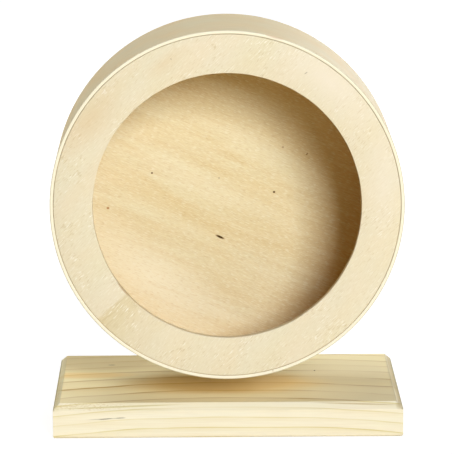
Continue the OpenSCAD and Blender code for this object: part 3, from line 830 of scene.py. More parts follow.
def leaves_of_ring(tree, woods, place):
    """Two leaves of veneer, joined nearly across the middle, and the darker wedge beside the joint."""
    joint_turn = (0, math.radians(-41.8), 0)
    upper_turn = (0, math.radians(-45), 0)
    lower_turn = (0, math.radians(-57), 0)
    feeds = {"Vector": place, "Location": (0, 0, 1.0), "Rotation": joint_turn}
    joint = add(tree, MAPPING, feeds, vector_type="TEXTURE")
    beside = add(tree, SPLIT, {0: joint}).node.outputs
    lower = add(tree, RANGE, {"Value": beside["Z"], "From Min": 1.1, "From Max": -1.1})
    sides = []
    for turn, seed in ((upper_turn, 0.0), (lower_turn, 300.0)):
        feeds = {"Vector": place, "Rotation": turn, "Location": (seed, seed, 0)}
        leaf = add(tree, MAPPING, feeds, vector_type="TEXTURE")
        side = add(
            tree,
            GROUP,
            {
                "Place": leaf,
                "Base": woods.ring,
                "Shade": woods.ring_shade,
                "Tint": linear("#e9e1bf"),
                "Blush": linear("#f4e2c6"),
                "Streak size": (80, 20, 11),
                "Fibre size": (4, 0.6, 0.55),
                "Cloud size": (36, 30, 20),
                "Streaks": 0.3,
                "Fibres": 0.06,
                "Clouds": 0.45,
                "Blushes": 0.3,
            },
            node_tree=bpy.data.node_groups["wood face"],
        )
        sides.append(side.node.outputs)
    left = add(tree, RANGE, {"Value": beside["X"], "From Min": -20.0, "From Max": -75.0})
    down = add(tree, RANGE, {"Value": beside["Z"], "From Min": -34.0, "From Max": 0.0})
    wedge = add(tree, MATH, {0: left, 1: down}, operation="MULTIPLY")
    shaded = coated(tree, sides[1]["Color"], (wedge, 0.5, "#dbca9e"))
    veneer = coated(tree, sides[0]["Color"], (lower, 1.0, shaded))
    feeds = {"Factor": lower, "A": sides[0]["Height"], "B": sides[1]["Height"]}
    height = add(tree, MIX, feeds, data_type="FLOAT")
    combed = add(tree, VECTOR, {0: joint, 1: (18, 1, 1.1)}, operation="DIVIDE")
    combing = add(tree, NOISE, {"Vector": combed, "Scale": 1.0, "Detail": 2.0})
    strands = add(tree, RANGE, {"Value": combing, "From Min": 0.48, "From Max": 0.62})
    near = add(tree, RANGE, {"Value": beside["Z"], "From Min": -13.0, "From Max": -1.0})
    beneath = add(tree, MATH, {0: near, 1: lower}, operation="MULTIPLY")
    leftwards = add(tree, MATH, {0: beneath, 1: left}, operation="MULTIPLY")
    comb = add(tree, MATH, {0: strands, 1: leftwards}, operation="MULTIPLY")
    away = add(tree, MATH, {0: beside["Z"]}, operation="ABSOLUTE")
    line = add(tree, RANGE, {"Value": away, "From Min": 0.8, "From Max": 0.05, "To Max": 0.09})
    joined = coated(tree, veneer, (comb, 0.45, "#cdbb8e"), (line, 1.0, "#b9a070"))
    feeds = {"Vector": place, "Rotation": upper_turn}
    leaning = add(tree, MAPPING, feeds, vector_type="TEXTURE")
    patches = add(tree, NOISE, {"Vector": place, "Scale": 1 / 16.0, "Detail": 1.0})
    feeds = {"Value": patches, "From Min": 0.45, "From Max": 0.62, "To Min": 0.3, "To Max": 0.75}
    scuffed = add(tree, RANGE, feeds)
    fainter = add(tree, MATH, {0: scuffed, 1: 0.7}, operation="MULTIPLY")
    apart = add(tree, VECTOR, {0: leaning, 1: (71, 0, 37)}, operation="ADD")
    # Real torn fibres are finer. The flecks are drawn 0.6 mm wide to show.
    fleck = (4.0, 0.6, 0.6)
    lit = flecked(tree, leaning, fleck, 0.045, scuffed, joined, "#fffbf0")
    return flecked(tree, apart, fleck, 0.045, fainter, lit, "#cdbb90"), height


def plies(tree, depth, thick, face, woods):
    """Colour of a sheet of plywood at a depth from its face: on its edge the core ply shows darker."""
    skin = 0.2 * thick
    soft = 0.02 * thick
    core = add(tree, RANGE, {"Value": depth, "From Min": skin, "From Max": skin + soft})
    rear = add(tree, RANGE, {"Value": depth, "From Min": thick - skin, "From Max": thick - skin - soft})
    middle = add(tree, MATH, {0: core, 1: rear}, operation="MULTIPLY")
    return coated(tree, face, (middle, 0.6, woods.band_shade))


def joint_line(tree, place, radius, reach, front, base):
    """Darkens the glue line between the ring and the band, which is thin, uneven and here and there open."""
    near = add(tree, RANGE, {"Value": radius, "From Min": reach[0], "From Max": reach[1]})
    patchy = add(tree, NOISE, {"Vector": place, "Scale": 1 / 9.0, "Detail": 3.0})
    feeds = {"Value": patchy, "From Min": 0.35, "From Max": 0.65, "To Min": 0.35, "To Max": 0.8}
    strength = add(tree, RANGE, feeds)
    across = add(tree, SPLIT, {0: place})
    feeds = {"Value": across, "From Min": -80.0, "From Max": 20.0, "To Min": 0.25, "To Max": 1.0}
    side = add(tree, RANGE, feeds)
    line = add(tree, MATH, {0: near, 1: front}, operation="MULTIPLY")
    shown = add(tree, MATH, {0: side, 1: strength}, operation="MULTIPLY")
    return coated(tree, base, (line, shown, "#a1956c"))


def sanded_ring_plywood(woods):
    """Plywood, its face a sanded pale birch-like veneer, bare: two leaves, faint slanting fibres, dull."""
    material, tree = start_material("sanded plywood of the front ring")
    place = place_mm(tree, (0, RING.front, AXLE.z))
    face, height = leaves_of_ring(tree, woods, place)
    depth = add(tree, SPLIT, {0: place}).node.outputs["Y"]
    sheet = plies(tree, depth, (RING.back - RING.front) / MM, face, woods)
    tan_patches = [
        ((-76, 0, 50), (32, 3, 13), (0, -45, 0), 0.5),
        ((-34, 0, 82), (18, 3, 6), (0, -35, 0), 0.35),
    ]
    pale_patches = [
        ((57, 0, 71), (40, 3, 18), (0, 42, 0), 0.8),
        ((88, 0, 10), (12, 3, 40), (0, 0, 0), 0.5),
    ]
    burnt = [((-59.3, 0, -47.2), (6.5, 2.5, 0.7), (0, 51.5, 0), 0.6)]
    spots = [
        ((44.2, 0, 75.7), (1.3, 1, 0.35), (0, -35, 0), 0.4),
        ((19.7, 1, 72.5), (1.2, 2, 4.0), (0, 0, 0), 0.15),
        ((-31.0, 0, 84.0), (0.7, 1, 0.4), (0, 60, 0), 0.25),
    ]
    worn = add(tree, GROUP, node_tree=bpy.data.node_groups["worn edge"])
    aged = coated(
        tree,
        sheet,
        (marks(tree, place, tan_patches, core=0.0), 1.0, "#e1c79c"),
        (marks(tree, place, pale_patches, core=0.0), 1.0, "#f2e9da"),
        (marks(tree, place, burnt), 1.0, woods.burn),
        (marks(tree, place, spots), 1.0, woods.bark),
        # Paler edges: partly sanding wear and partly a painted highlight along the edges.
        (worn, 0.5, woods.cut_edge),
    )
    outer_r = RING.outer / MM
    front = add(tree, RANGE, {"Value": depth, "From Min": 0.6, "From Max": 0.4})
    radius = from_axle(tree, place)
    jointed = joint_line(tree, place, radius, (outer_r - 0.4, outer_r), front, aged)
    end_material(tree, {"Base Color": jointed, "Roughness": 0.7, **BARE_WOOD}, height, 0.03 * MM)
    return material


def sanded_disc_plywood(woods):
    """Plywood, its face a sanded rotary-cut veneer, bare: long soft honey streaks that lean to the right."""
    material, tree = start_material("sanded plywood of the back disc")
    low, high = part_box("back_disc")
    place = place_mm(tree, (0, low.y, AXLE.z))
    feeds = {"Vector": place, "Rotation": (0, math.radians(22), 0)}
    leaning = add(tree, MAPPING, feeds, vector_type="TEXTURE")
    face = add(
        tree,
        GROUP,
        {
            "Place": leaning,
            "Base": woods.disc,
            "Shade": woods.disc_shade,
            "Tint": linear("#efe2bd"),
            "Blush": linear("#edd8a4"),
            "Streak size": (120, 40, 15),
            "Fibre size": (4, 1, 0.65),
            "Cloud size": (60, 40, 26),
            "Streaks": 0.75,
            "Fibres": 0.1,
            "Clouds": 0.4,
            "Blushes": 0.3,
        },
        node_tree=bpy.data.node_groups["wood face"],
    ).node.outputs
    depth = add(tree, SPLIT, {0: place}).node.outputs["Y"]
    sheet = plies(tree, depth, (high.y - low.y) / MM, face["Color"], woods)
    pale_streaks_and_painted_light = [
        ((-14.0, 0, 1.5), (72, 3, 8), (0, 26, 0), 0.4),
        ((10, 0, 30), (40, 3, 9), (0, 24, 0), 0.3),
        # Painted light: a paler, yellower band along the lower left edge, where more light falls inside the
        # drum.
        ((-42, 0, -57), (62, 3, 26), (0, 38, 0), 1.0),
    ]
    tan_bands = [
        ((-22.0, 0, -18), (64, 3, 8), (0, 26, 0), 0.35),
        ((-8.0, 0, 10.5), (22, 3, 2.4), (0, 24, 0), 0.45),
        ((-37, 0, -4), (46, 3, 4.5), (0, 35, 0), 0.4),
        ((3, 0, 18), (24, 3, 3.5), (0, 35, 0), 0.35),
        ((-58, 0, 24), (18, 3, 3), (0, 30, 0), 0.4),
    ]
    banded = coated(
        tree,
        sheet,
        (marks(tree, place, pale_streaks_and_painted_light, core=0.0), 1.0, "#faf3d6"),
        (marks(tree, place, tan_bands, core=0.0), 1.0, "#dfc68c"),
    )
    halo = (0.9, 1, 0.8)
    resin = [
        ((28.0, 0, -4.4), halo, (0, 0, 0), 0.35),
        ((-43.2, 0, 7.3), halo, (0, 0, 0), 0.35),
        ((-69.1, 0, -13.4), (1.1, 1, 0.9), (0, 0, 0), 0.7),
        ((33.2, 0, 22.2), halo, (0, 0, 0), 0.35),
        ((47.2, 0, 18.0), (1.1, 1, 0.6), (0, -50, 0), 0.5),
        ((-3.7, 0, -31.0), (3.6, 1, 1.0), (0, 24.7, 0), 0.4),
    ]
    dot = (0.55, 1, 0.45)
    spots = [
        ((-3.7, 0, -31.0), (3.1, 1, 0.8), (0, 24.7, 0), 1.0),
        ((28.0, 0, -4.4), (0.8, 1, 0.75), (0, 0, 0), 1.0),
        ((-43.2, 0, 7.3), (0.65, 1, 0.6), (0, 0, 0), 1.0),
        ((-4.1, 0, 4.1), dot, (0, 0, 0), 0.5),
        ((-69.1, 0, -13.4), (0.5, 1, 0.4), (0, 0, 0), 0.5),
        ((33.2, 0, 22.2), dot, (0, 0, 0), 0.35),
        ((47.2, 0, 18.0), (0.8, 1, 0.4), (0, -50, 0), 0.4),
    ]
    # Painted warm shadow: the inner face alone is toned orange-brown towards the top and right, where the
    # ring's shadow falls on it.
    aside = add(tree, VECTOR, {0: place, 1: (-22, 0, -20)}, operation="DISTANCE").node.outputs["Value"]
    painted_shadow_tone = add(tree, RANGE, {"Value": aside, "From Min": 66.0, "From Max": 102.0, "To Max": 0.4})
    inside = add(tree, RANGE, {"Value": depth, "From Min": 0.5, "From Max": 0.3})
    grain_and_painted_shadow = coated(tree, banded, (painted_shadow_tone, inside, "#ecb66c"), blend="MULTIPLY")
    # Long streaks first, then torn fibres, which are drawn coarser than they are to show.
    for seed, size, amount, share, code in (
        (0, (60, 3, 4.5), 0.1, 0.14, "#d9bd84"),
        (40, (50, 3, 3.5), 0.1, 0.16, "#fcf5d8"),
        (80, (3.5, 1, 0.5), 0.08, 0.42, "#fdf8e2"),
        (120, (3.5, 1, 0.5), 0.05, 0.26, "#c9aa68"),
    ):
        apart = add(tree, VECTOR, {0: leaning, 1: (seed, 0, seed)}, operation="ADD")
        grain_and_painted_shadow = flecked(tree, apart, size, amount, share, grain_and_painted_shadow, code)
    marked = coated(
        tree,
        grain_and_painted_shadow,
        (marks(tree, place, resin), 1.0, "#b97a2c"),
        (marks(tree, place, spots), 1.0, woods.bark),
    )
    end_material(tree, {"Base Color": marked, "Roughness": 0.68, **BARE_WOOD}, face["Height"], 0.03 * MM)
    return material


def bent_band_plywood(woods, drum):
    """Thin plywood bent round while warm, bare: a pale sanded edge and a slightly grey, blotchy skin.

    The pattern is wrapped round the axle, so that the grain follows the bend and breaks only at the seam.
    """
    material, tree = start_material("bent plywood of the band")
    seam = math.degrees(drum.seam_place) - 90
    place = place_mm(tree, (0, BAND.front, AXLE.z), (0, seam + 180, 0))
    parts = add(tree, SPLIT, {0: place}).node.outputs
    level = add(tree, MATH, {0: parts["Z"], 1: -1.0}, operation="MULTIPLY")
    theta = add(tree, MATH, {0: level, 1: parts["X"]}, operation="ARCTAN2")
    radius = from_axle(tree, place)
    around = add(tree, MATH, {0: theta, 1: BAND.outer / MM}, operation="MULTIPLY")
    wrapped = add(tree, JOIN, {0: around, 1: parts["Y"], 2: radius})
    face = add(
        tree,
        GROUP,
        {
            "Place": wrapped,
            "Base": woods.band,
            "Shade": woods.band_shade,
            "Tint": linear("#ddd6b8"),
            "Streak size": (45, 14, 4),
            "Fibre size": (20, 0.9, 0.9),
            "Cloud size": (22, 30, 10),
            "Streaks": 0.5,
            "Fibres": 0.12,
            "Clouds": 0.65,
        },
        node_tree=bpy.data.node_groups["wood face"],
    ).node.outputs
    inner_r = BAND.inner / MM
    outer_r = BAND.outer / MM
    edge = add(tree, RANGE, {"Value": parts["Y"], "From Min": 0.5, "From Max": 0.15})
    inwards = add(tree, RANGE, {"Value": radius, "From Min": inner_r + 0.4, "From Max": inner_r + 0.3})
    # Painted shade: the outer corner of the front edge is greyed, where the rounded edge turns away from the
    # light.
    rim = add(tree, RANGE, {"Value": radius, "From Min": outer_r - 0.55, "From Max": outer_r - 0.15})
    painted_rim_shade = add(tree, MATH, {0: rim, 1: edge}, operation="MULTIPLY")
    sanded = coated(
        tree,
        face["Color"],
        (inwards, 1.0, woods.band_inside),
        (edge, 1.0, woods.cut_edge),
        (painted_rim_shade, 0.55, "#a59f82"),
    )
    jointed = joint_line(tree, place, radius, (inner_r + 0.35, inner_r), edge, sanded)
    torn_at = math.degrees(drum.torn_place - drum.seam_place) - 180
    torn_around = math.radians((torn_at + 180) % 360 - 180) * outer_r
    torn_reach = (drum.torn_length / MM / 2, 1.6, 1.4)
    torn = marks(tree, wrapped, [((torn_around, 0.2, outer_r), torn_reach, (0, 0, 0), 0.65)])
    bared = coated(tree, jointed, (torn, 1.0, "#e0c8b0"))
    end_material(tree, {"Base Color": bared, "Roughness": 0.66, **BARE_WOOD}, face["Height"], 0.03 * MM)
    return material


def turned_beech(name, woods, centre, turn, grain):
    """Beech, turned and sanded, bare: pinkish tan with short darker ray flecks and a slight sheen."""
    material, tree = start_material(name)
    place = place_mm(tree, centre, turn)
    face = add(
        tree,
        GROUP,
        {
            "Place": place,
            "Base": woods.beech,
            "Shade": linear("#d6b183"),
            "Tint": linear("#e9c99c"),
            "Pore": woods.beech_shade,
            "Streak size": (80, 5, 5),
            "Fibre size": (2.6, 0.35, 0.35),
            "Cloud size": (60, 25, 25),
            "Streaks": 0.6,
            "Fibres": 0.5,
            "Clouds": 0.4,
        },
        node_tree=bpy.data.node_groups["wood face"],
    ).node.outputs
    end = facing(tree, grain, 0.45, 0.9)
    worn = add(tree, GROUP, node_tree=bpy.data.node_groups["worn edge"])
    paler = coated(tree, face["Color"], (end, 0.5, "#bd9668"), (worn, 0.4, "#efd4ab"))
    end_material(tree, {"Base Color": paler, "Roughness": 0.55, **BARE_WOOD}, face["Height"], 0.03 * MM)
    return material


def bright_zinc(metals):
    """Steel with bright zinc plate: bluish silver, cloudy from the bath, dull grey where it is rubbed."""
    material, tree = start_material("bright zinc plate")
    place = place_mm(tree)
    cloud = add(tree, NOISE, {"Vector": place, "Scale": 1 / 3.0, "Detail": 4.0})
    clear = add(tree, RANGE, {"Value": cloud, "From Min": 0.35, "From Max": 0.65})
    worn = add(tree, GROUP, node_tree=bpy.data.node_groups["worn edge"])
    rubbed = coated(tree, metals.zinc, (clear, 1.0, "#aeb6c3"), (worn, 0.7, "#d6d6d2"))
    dull = add(tree, RANGE, {"Value": cloud, **SPREAD, "To Min": 0.26, "To Max": 0.42})
    end_material(tree, {"Base Color": rubbed, "Metallic": 1.0, "Roughness": dull}, cloud, 0.01 * MM)
    return material


def ground_steel(metals):
    """Bearing steel, hardened and ground: grey, with fine rings left by the wheel."""
    material, tree = start_material("ground bearing steel")
    radius = from_axle(tree, place_mm(tree, (0, 0, AXLE.z)))
    # Real grinding marks are some hundredths of a millimetre apart. They are drawn at 0.3 mm to show.
    rings = add(tree, NOISE, {"W": radius, "Scale": 1 / 0.3, "Detail": 3.0}, noise_dimensions="1D")
    worn = add(tree, GROUP, node_tree=bpy.data.node_groups["worn edge"])
    edged = coated(tree, metals.bearing, (rings, 0.5, "#9da1a6"), (worn, 0.5, "#e2e3e4"))
    dull = add(tree, RANGE, {"Value": rings, **SPREAD, "To Min": 0.18, "To Max": 0.32})
    end_material(tree, {"Base Color": edged, "Metallic": 1.0, "Roughness": dull}, rings, 0.004 * MM)
    return material


def polished_steel(metals):
    """Bearing balls, lapped: nearly a mirror, with a faint haze of oil."""
    material, tree = start_material("lapped steel of the balls")
    haze = add(tree, NOISE, {"Vector": place_mm(tree), "Scale": 1 / 1.2, "Detail": 3.0})
    oiled = add(tree, RANGE, {"Value": haze, "From Min": 0.4, "From Max": 0.7, "To Max": 0.25})
    hazy = coated(tree, metals.bearing, (oiled, 1.0, "#a89f8c"))
    dull = add(tree, RANGE, {"Value": haze, **SPREAD, "To Min": 0.05, "To Max": 0.14})
    end_material(tree, {"Base Color": hazy, "Metallic": 1.0, "Roughness": dull}, haze, 0.002 * MM)
    return material


def pressed_steel(metals):
    """Thin steel sheet, pressed to shape: satin grey, with the faint grain of the rolled sheet."""
    material, tree = start_material("pressed steel sheet")
    drawn = add(tree, VECTOR, {0: place_mm(tree), 1: (0.15, 1, 1)}, operation="MULTIPLY")
    # The grain of rolled sheet is finer than a tenth of a millimetre. It is drawn at 0.4 mm to show.
    grain = add(tree, NOISE, {"Vector": drawn, "Scale": 1 / 0.4, "Detail": 3.0})
    shade = coated(tree, metals.sheet, (grain, 0.5, "#94989d"))
    dull = add(tree, RANGE, {"Value": grain, **SPREAD, "To Min": 0.3, "To Max": 0.45})
    end_material(tree, {"Base Color": shade, "Metallic": 1.0, "Roughness": dull}, grain, 0.004 * MM)
    return material


def seen_by_camera(tree):
    """1 for rays that show a thing to the camera, straight, mirrored or through glass, and 0 for others."""
    light = add(tree, "ShaderNodeLightPath").node.outputs
    seen = add(tree, MATH, {0: light["Is Camera Ray"], 1: light["Is Glossy Ray"]}, operation="MAXIMUM")
    return add(tree, MATH, {0: seen, 1: light["Is Transmission Ray"]}, operation="MAXIMUM")


def studio_floor():
    """Pale paper sweep: white to the camera and in reflections, with a faint shadow of the object.

    To all other rays it is a warm cream, which throws a warm light up into the object's shadows.
    """
    material, tree = start_material("studio floor")
    place = add(tree, "ShaderNodeTexCoord").node.outputs["Object"]
    far = add(tree, VECTOR, {0: place}, operation="LENGTH").node.outputs["Value"]
    # The floor glows a little less near the object, within 0.2 m, and fully from 0.7 m on.
    feeds = {"Value": far, "From Min": 0.2, "From Max": 0.7, "To Min": 0.84, "To Max": 1.0}
    level = add(tree, RANGE, feeds)
    glow = add(tree, "ShaderNodeEmission", {"Color": linear("#ffffff"), "Strength": level})
    shade = add(tree, "ShaderNodeBsdfDiffuse", {"Color": linear("#959595")})
    shown = add(tree, "ShaderNodeAddShader", {0: glow, 1: shade})
    warm = add(tree, "ShaderNodeBsdfDiffuse", {"Color": linear("#dfcfa2")})
    surface = add(tree, "ShaderNodeMixShader", {"Fac": seen_by_camera(tree), 1: warm, 2: shown})
    add(tree, "ShaderNodeOutputMaterial", {"Surface": surface})
    return material


def studio_sky(strength):
    """World that is white to the camera and in reflections, and lights the object with this strength."""
    world = bpy.data.worlds.new("studio sky")
    world.use_nodes = True
    tree = world.node_tree
    tree.nodes.clear()
    level = add(tree, RANGE, {"Value": seen_by_camera(tree), "To Min": strength, "To Max": 1.0})
    glow = add(tree, "ShaderNodeBackground", {"Color": linear("#ffffff"), "Strength": level})
    add(tree, "ShaderNodeOutputWorld", {"Surface": glow})
    return world


def aim(turn, rise):
    """Direction from the object towards a lamp or camera, turned from the front towards +X and raised."""
    return Vector((math.sin(turn) * math.cos(rise), -math.cos(turn) * math.cos(rise), math.sin(rise)))


def softbox(name, away, size, watts):
    """Square lamp that faces the drum's middle from a place that is this far away from it."""
    lamp = bpy.data.lights.new(name, "AREA")
    lamp.shape = "SQUARE"
    lamp.size = size
    lamp.energy = watts
    holder = bpy.data.objects.new(name, lamp)
    holder.location = Vector((0, 0, AXLE.z)) + away
    holder.rotation_euler = away.to_track_quat("Z", "Y").to_euler()
    holder.visible_camera = False
    bpy.context.scene.collection.objects.link(holder)


class WHEEL_OT_stage(bpy.types.Operator):
    """Sets the camera, the floor, the sky and the lamps"""

    bl_idname = "wheel.stage"
    bl_label = "Stage"

    def execute(self, context):
        scene = context.scene
        stage = scene.wheel_stage
        scene.view_settings.view_transform = "Standard"
        # The camera looks at a point in the plane of the ring's face, a little below the axle.
        looked_at = Vector((-0.21 * MM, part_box("front_ring")[0].y, 122.82 * MM))
        back = aim(stage.camera_turn, stage.camera_rise)
        right = Vector((math.cos(stage.camera_turn), math.sin(stage.camera_turn), 0))
        up = back.cross(right)
        roll = stage.camera_roll
        across = math.cos(roll) * right + math.sin(roll) * up
        above = math.cos(roll) * up - math.sin(roll) * right
        lens = bpy.data.cameras.new("camera")
        lens.lens = stage.camera_lens
        lens.sensor_width = 36
        camera = bpy.data.objects.new("camera", lens)
        turned = Matrix((across, above, back)).transposed().to_4x4()
        camera.matrix_world = Matrix.Translation(looked_at + stage.camera_distance * back) @ turned
        scene.collection.objects.link(camera)
        scene.camera = camera
        scene.world = studio_sky(stage.sky)
        front = stage.key_distance * aim(stage.key_turn, stage.key_rise)
        side = stage.near_distance * aim(stage.side_turn, stage.side_rise)
        rear = stage.near_distance * aim(stage.back_turn, stage.back_rise)
        softbox("front softbox", front, stage.key_size, stage.key_power)
        softbox("overhead softbox", Vector(stage.top_place), stage.top_size, stage.top_power)
        softbox("side softbox", side, stage.near_size, stage.side_power)
        softbox("rear softbox", rear, stage.near_size, stage.back_power)
        sheet = bpy.data.meshes.new("floor")
        reach = stage.floor_reach
        corners = [(-reach, -reach, 0), (reach, -reach, 0), (reach, reach, 0), (-reach, reach, 0)]
        sheet.from_pydata(corners, [], [(0, 1, 2, 3)])
        sheet.materials.append(studio_floor())
        floor = bpy.data.objects.new("floor", sheet)
        scene.collection.objects.link(floor)
        return {"FINISHED"}


class WHEEL_OT_band(bpy.types.Operator):
    """Makes the bent band that the animal runs on"""

    bl_idname = "wheel.band"
    bl_label = "Running Band"

    def execute(self, context):
        drum = context.scene.wheel_drum
        woods = context.scene.wheel_woods
        deep = BAND.back - BAND.front
        ease = drum.edge_round
        # Rows lie closer where the torn skin is cut in.
        fine = even_rows(ease + 0.15 * MM, 2 * drum.torn_width, 0.2 * MM)
        rows = fine + even_rows(fine[-1], deep - ease, 9 * MM)[1:-1]
        band = grow(
            "bent_band",
            "bent band",
            eased_section(BAND.inner, BAND.outer, deep, ease, rows),
            {
                "Segments": 900,
                "Seam place": drum.seam_place - math.pi / 2,
                "Seam gap": drum.seam_gap / math.cos(drum.seam_slope),
                "Seam slope": drum.seam_slope,
                "Middle radius": (BAND.inner + BAND.outer) / 2,
                "Torn place": drum.torn_place - math.pi / 2,
                "Torn length": drum.torn_length,
                "Torn width": drum.torn_width,
                "Torn depth": drum.torn_depth,
                "Place": (0, BAND.front, AXLE.z),
                "Material": bent_band_plywood(woods, drum),
            },
        )
        settle(band, "wheel", "plywood", "running_band")
        return {"FINISHED"}


class WHEEL_OT_ring(bpy.types.Operator):
    """Makes the front ring with the way in"""

    bl_idname = "wheel.ring"
    bl_label = "Front Ring"

    def execute(self, context):
        drum = context.scene.wheel_drum
        ring = grow(
            "front_ring_board",
            "turned piece",
            eased_section(RING.inner, RING.outer, RING.back - RING.front, drum.edge_round),
            {
                "Segments": 480,
                "Wave": drum.bore_wave,
                "Wave length": 20 * MM,
                "Wave within": (RING.inner + RING.outer) / 2,
                "Place": (0, RING.front, AXLE.z),
                "Material": sanded_ring_plywood(context.scene.wheel_woods),
            },
        )
        settle(ring, "wheel", "plywood", "front_ring")
        return {"FINISHED"}


class WHEEL_OT_disc(bpy.types.Operator):
    """Finishes the disc that closes the back of the drum"""

    bl_idname = "wheel.disc"
    bl_label = "Back Disc"

    def execute(self, context):
        dress("back_disc", sanded_disc_plywood(context.scene.wheel_woods))
        return {"FINISHED"}


class WHEEL_OT_hub(bpy.types.Operator):
    """Finishes the hub block and makes the screws that hold it"""

    bl_idname = "wheel.hub"
    bl_label = "Hub"

    def execute(self, context):
        scene = context.scene
        face = (0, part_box("hub_block")[0].y, AXLE.z)
        beech = turned_beech("turned beech of the hub", scene.wheel_woods, face, (0, 0, 90), (1, 0, 0))
        dress("hub_block", beech)
        zinc = bpy.data.materials["bright zinc plate"]
        dress("tee_nut", zinc)
        shank = 1.75 * MM
        head = 3.5 * MM
        long = HUB_SCREWS.back - HUB_SCREWS.front
        screws = grow(
            "hub_wood_screws",
            "threaded fastener",
            wood_screw_profile(shank, head, long),
            {
                **wood_screw_values(shank, head, long, scene.wheel_fixings.hub_screw_pitch),
                "Copies": 4,
                "Circle radius": 24 * MM,
                "First angle": math.pi / 4,
                "Place": (0, HUB_SCREWS.front, AXLE.z),
                "Material": zinc,
            },
        )
        settle(screws, "wheel", "zinc_plated_steel", "hub_screws")
        return {"FINISHED"}


class WHEEL_OT_axle(bpy.types.Operator):
    """Makes the threaded axle bolt and finishes its washers and spacer"""

    bl_idname = "wheel.axle"
    bl_label = "Axle"

    def execute(self, context):
        scene = context.scene
        sizes = scene.wheel_fixings
        zinc = bpy.data.materials["bright zinc plate"]
        for node in ("front_washer", "rear_washer", "race_spacer"):
            dress(node, zinc)
        long = BOLT.back - BOLT.front
        shank = long - sizes.bolt_head
        half = sizes.bolt_flats / 2
        corner = half / math.cos(math.pi / 6)
        crown = long - (corner - half + 0.3 * MM) * math.tan(math.pi / 6) - 0.1 * MM
        bevel = 0.8 * MM
        fillet = 0.3 * MM
        thread_end = sizes.bolt_thread
        rows = even_rows(bevel, thread_end + sizes.bolt_pitch, sizes.bolt_pitch / 10)[1:]
        bolt = grow(
            "threaded_axle_bolt",
            "threaded fastener",
            [
                (0, 0),
                (BOLT_SHANK - bevel, 0),
                (BOLT_SHANK, bevel),
                *((BOLT_SHANK, z) for z in rows),
                (BOLT_SHANK, shank - fillet),
                (BOLT_SHANK + fillet, shank),
                (half - 0.2 * MM, shank),
                (half - 0.2 * MM, shank + 0.2 * MM),
                (corner, shank + 0.25 * MM),
                (corner, crown),
                (half - 0.3 * MM, long - 0.05 * MM),
                (half - 0.6 * MM, long),
                (0, long),
            ],
            {
                "Segments": 96,
                "Flats": sizes.bolt_flats,
                "Head from": shank + 0.1 * MM,
                "Thread to": thread_end,
                "Pitch": sizes.bolt_pitch,
                "Depth": 0.6 * sizes.bolt_pitch,
                "Shank radius": BOLT_SHANK,
                "Place": (0, BOLT.front, AXLE.z),
                "Material": zinc,
            },
        )
        settle(bolt, "wheel", "zinc_plated_steel", "axle_bolt")
        return {"FINISHED"}


class WHEEL_OT_bearings(bpy.types.Operator):
    """Makes the balls and shields of both bearings and finishes their races and cages"""

    bl_idname = "wheel.bearings"
    bl_label = "Bearings"

    def execute(self, context):
        scene = context.scene
        metals = scene.wheel_metals
        ground = ground_steel(metals)
        polished = polished_steel(metals)
        pressed = pressed_steel(metals)
        count = scene.wheel_fixings.ball_count
        for place in ("front", "rear"):
            for race in ("outer_race", "inner_race"):
                dress(f"{place}_{race}", ground)
            dress(f"{place}_cage", pressed)
            low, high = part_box(f"{place}_balls")
            middle = (low.y + high.y) / 2
            radius = (high.y - low.y) / 2
            pitch = about_axle(f"{place}_balls").outer - radius
            arc = [math.radians(a) for a in range(-90, 91, 10)]
            balls = grow(
                f"{place}_bearing_balls",
                "turned piece",
                [(radius * math.cos(a), radius * math.sin(a)) for a in arc],
                {
                    "Segments": 36,
                    "Copies": count,
                    "Circle radius": pitch,
                    "Place": (0, middle, AXLE.z),
                    "Material": polished,
                },
            )
            settle(balls, f"{place}_ball_set", "bearing_steel", f"{place}_balls")
            shield = about_axle(f"{place}_shields")
            shields = grow(
                f"{place}_pressed_shields",
                "turned piece",
                shield_section(shield),
                {
                    "Segments": 96,
                    "Copies": 2,
                    "Spacing": shield.back - shield.front,
                    "Flip": math.pi,
                    "Place": (0, shield.front, AXLE.z),
                    "Material": pressed,
                },
            )
            settle(shields, "stand", "bearing_steel", f"{place}_shields")
        return {"FINISHED"}


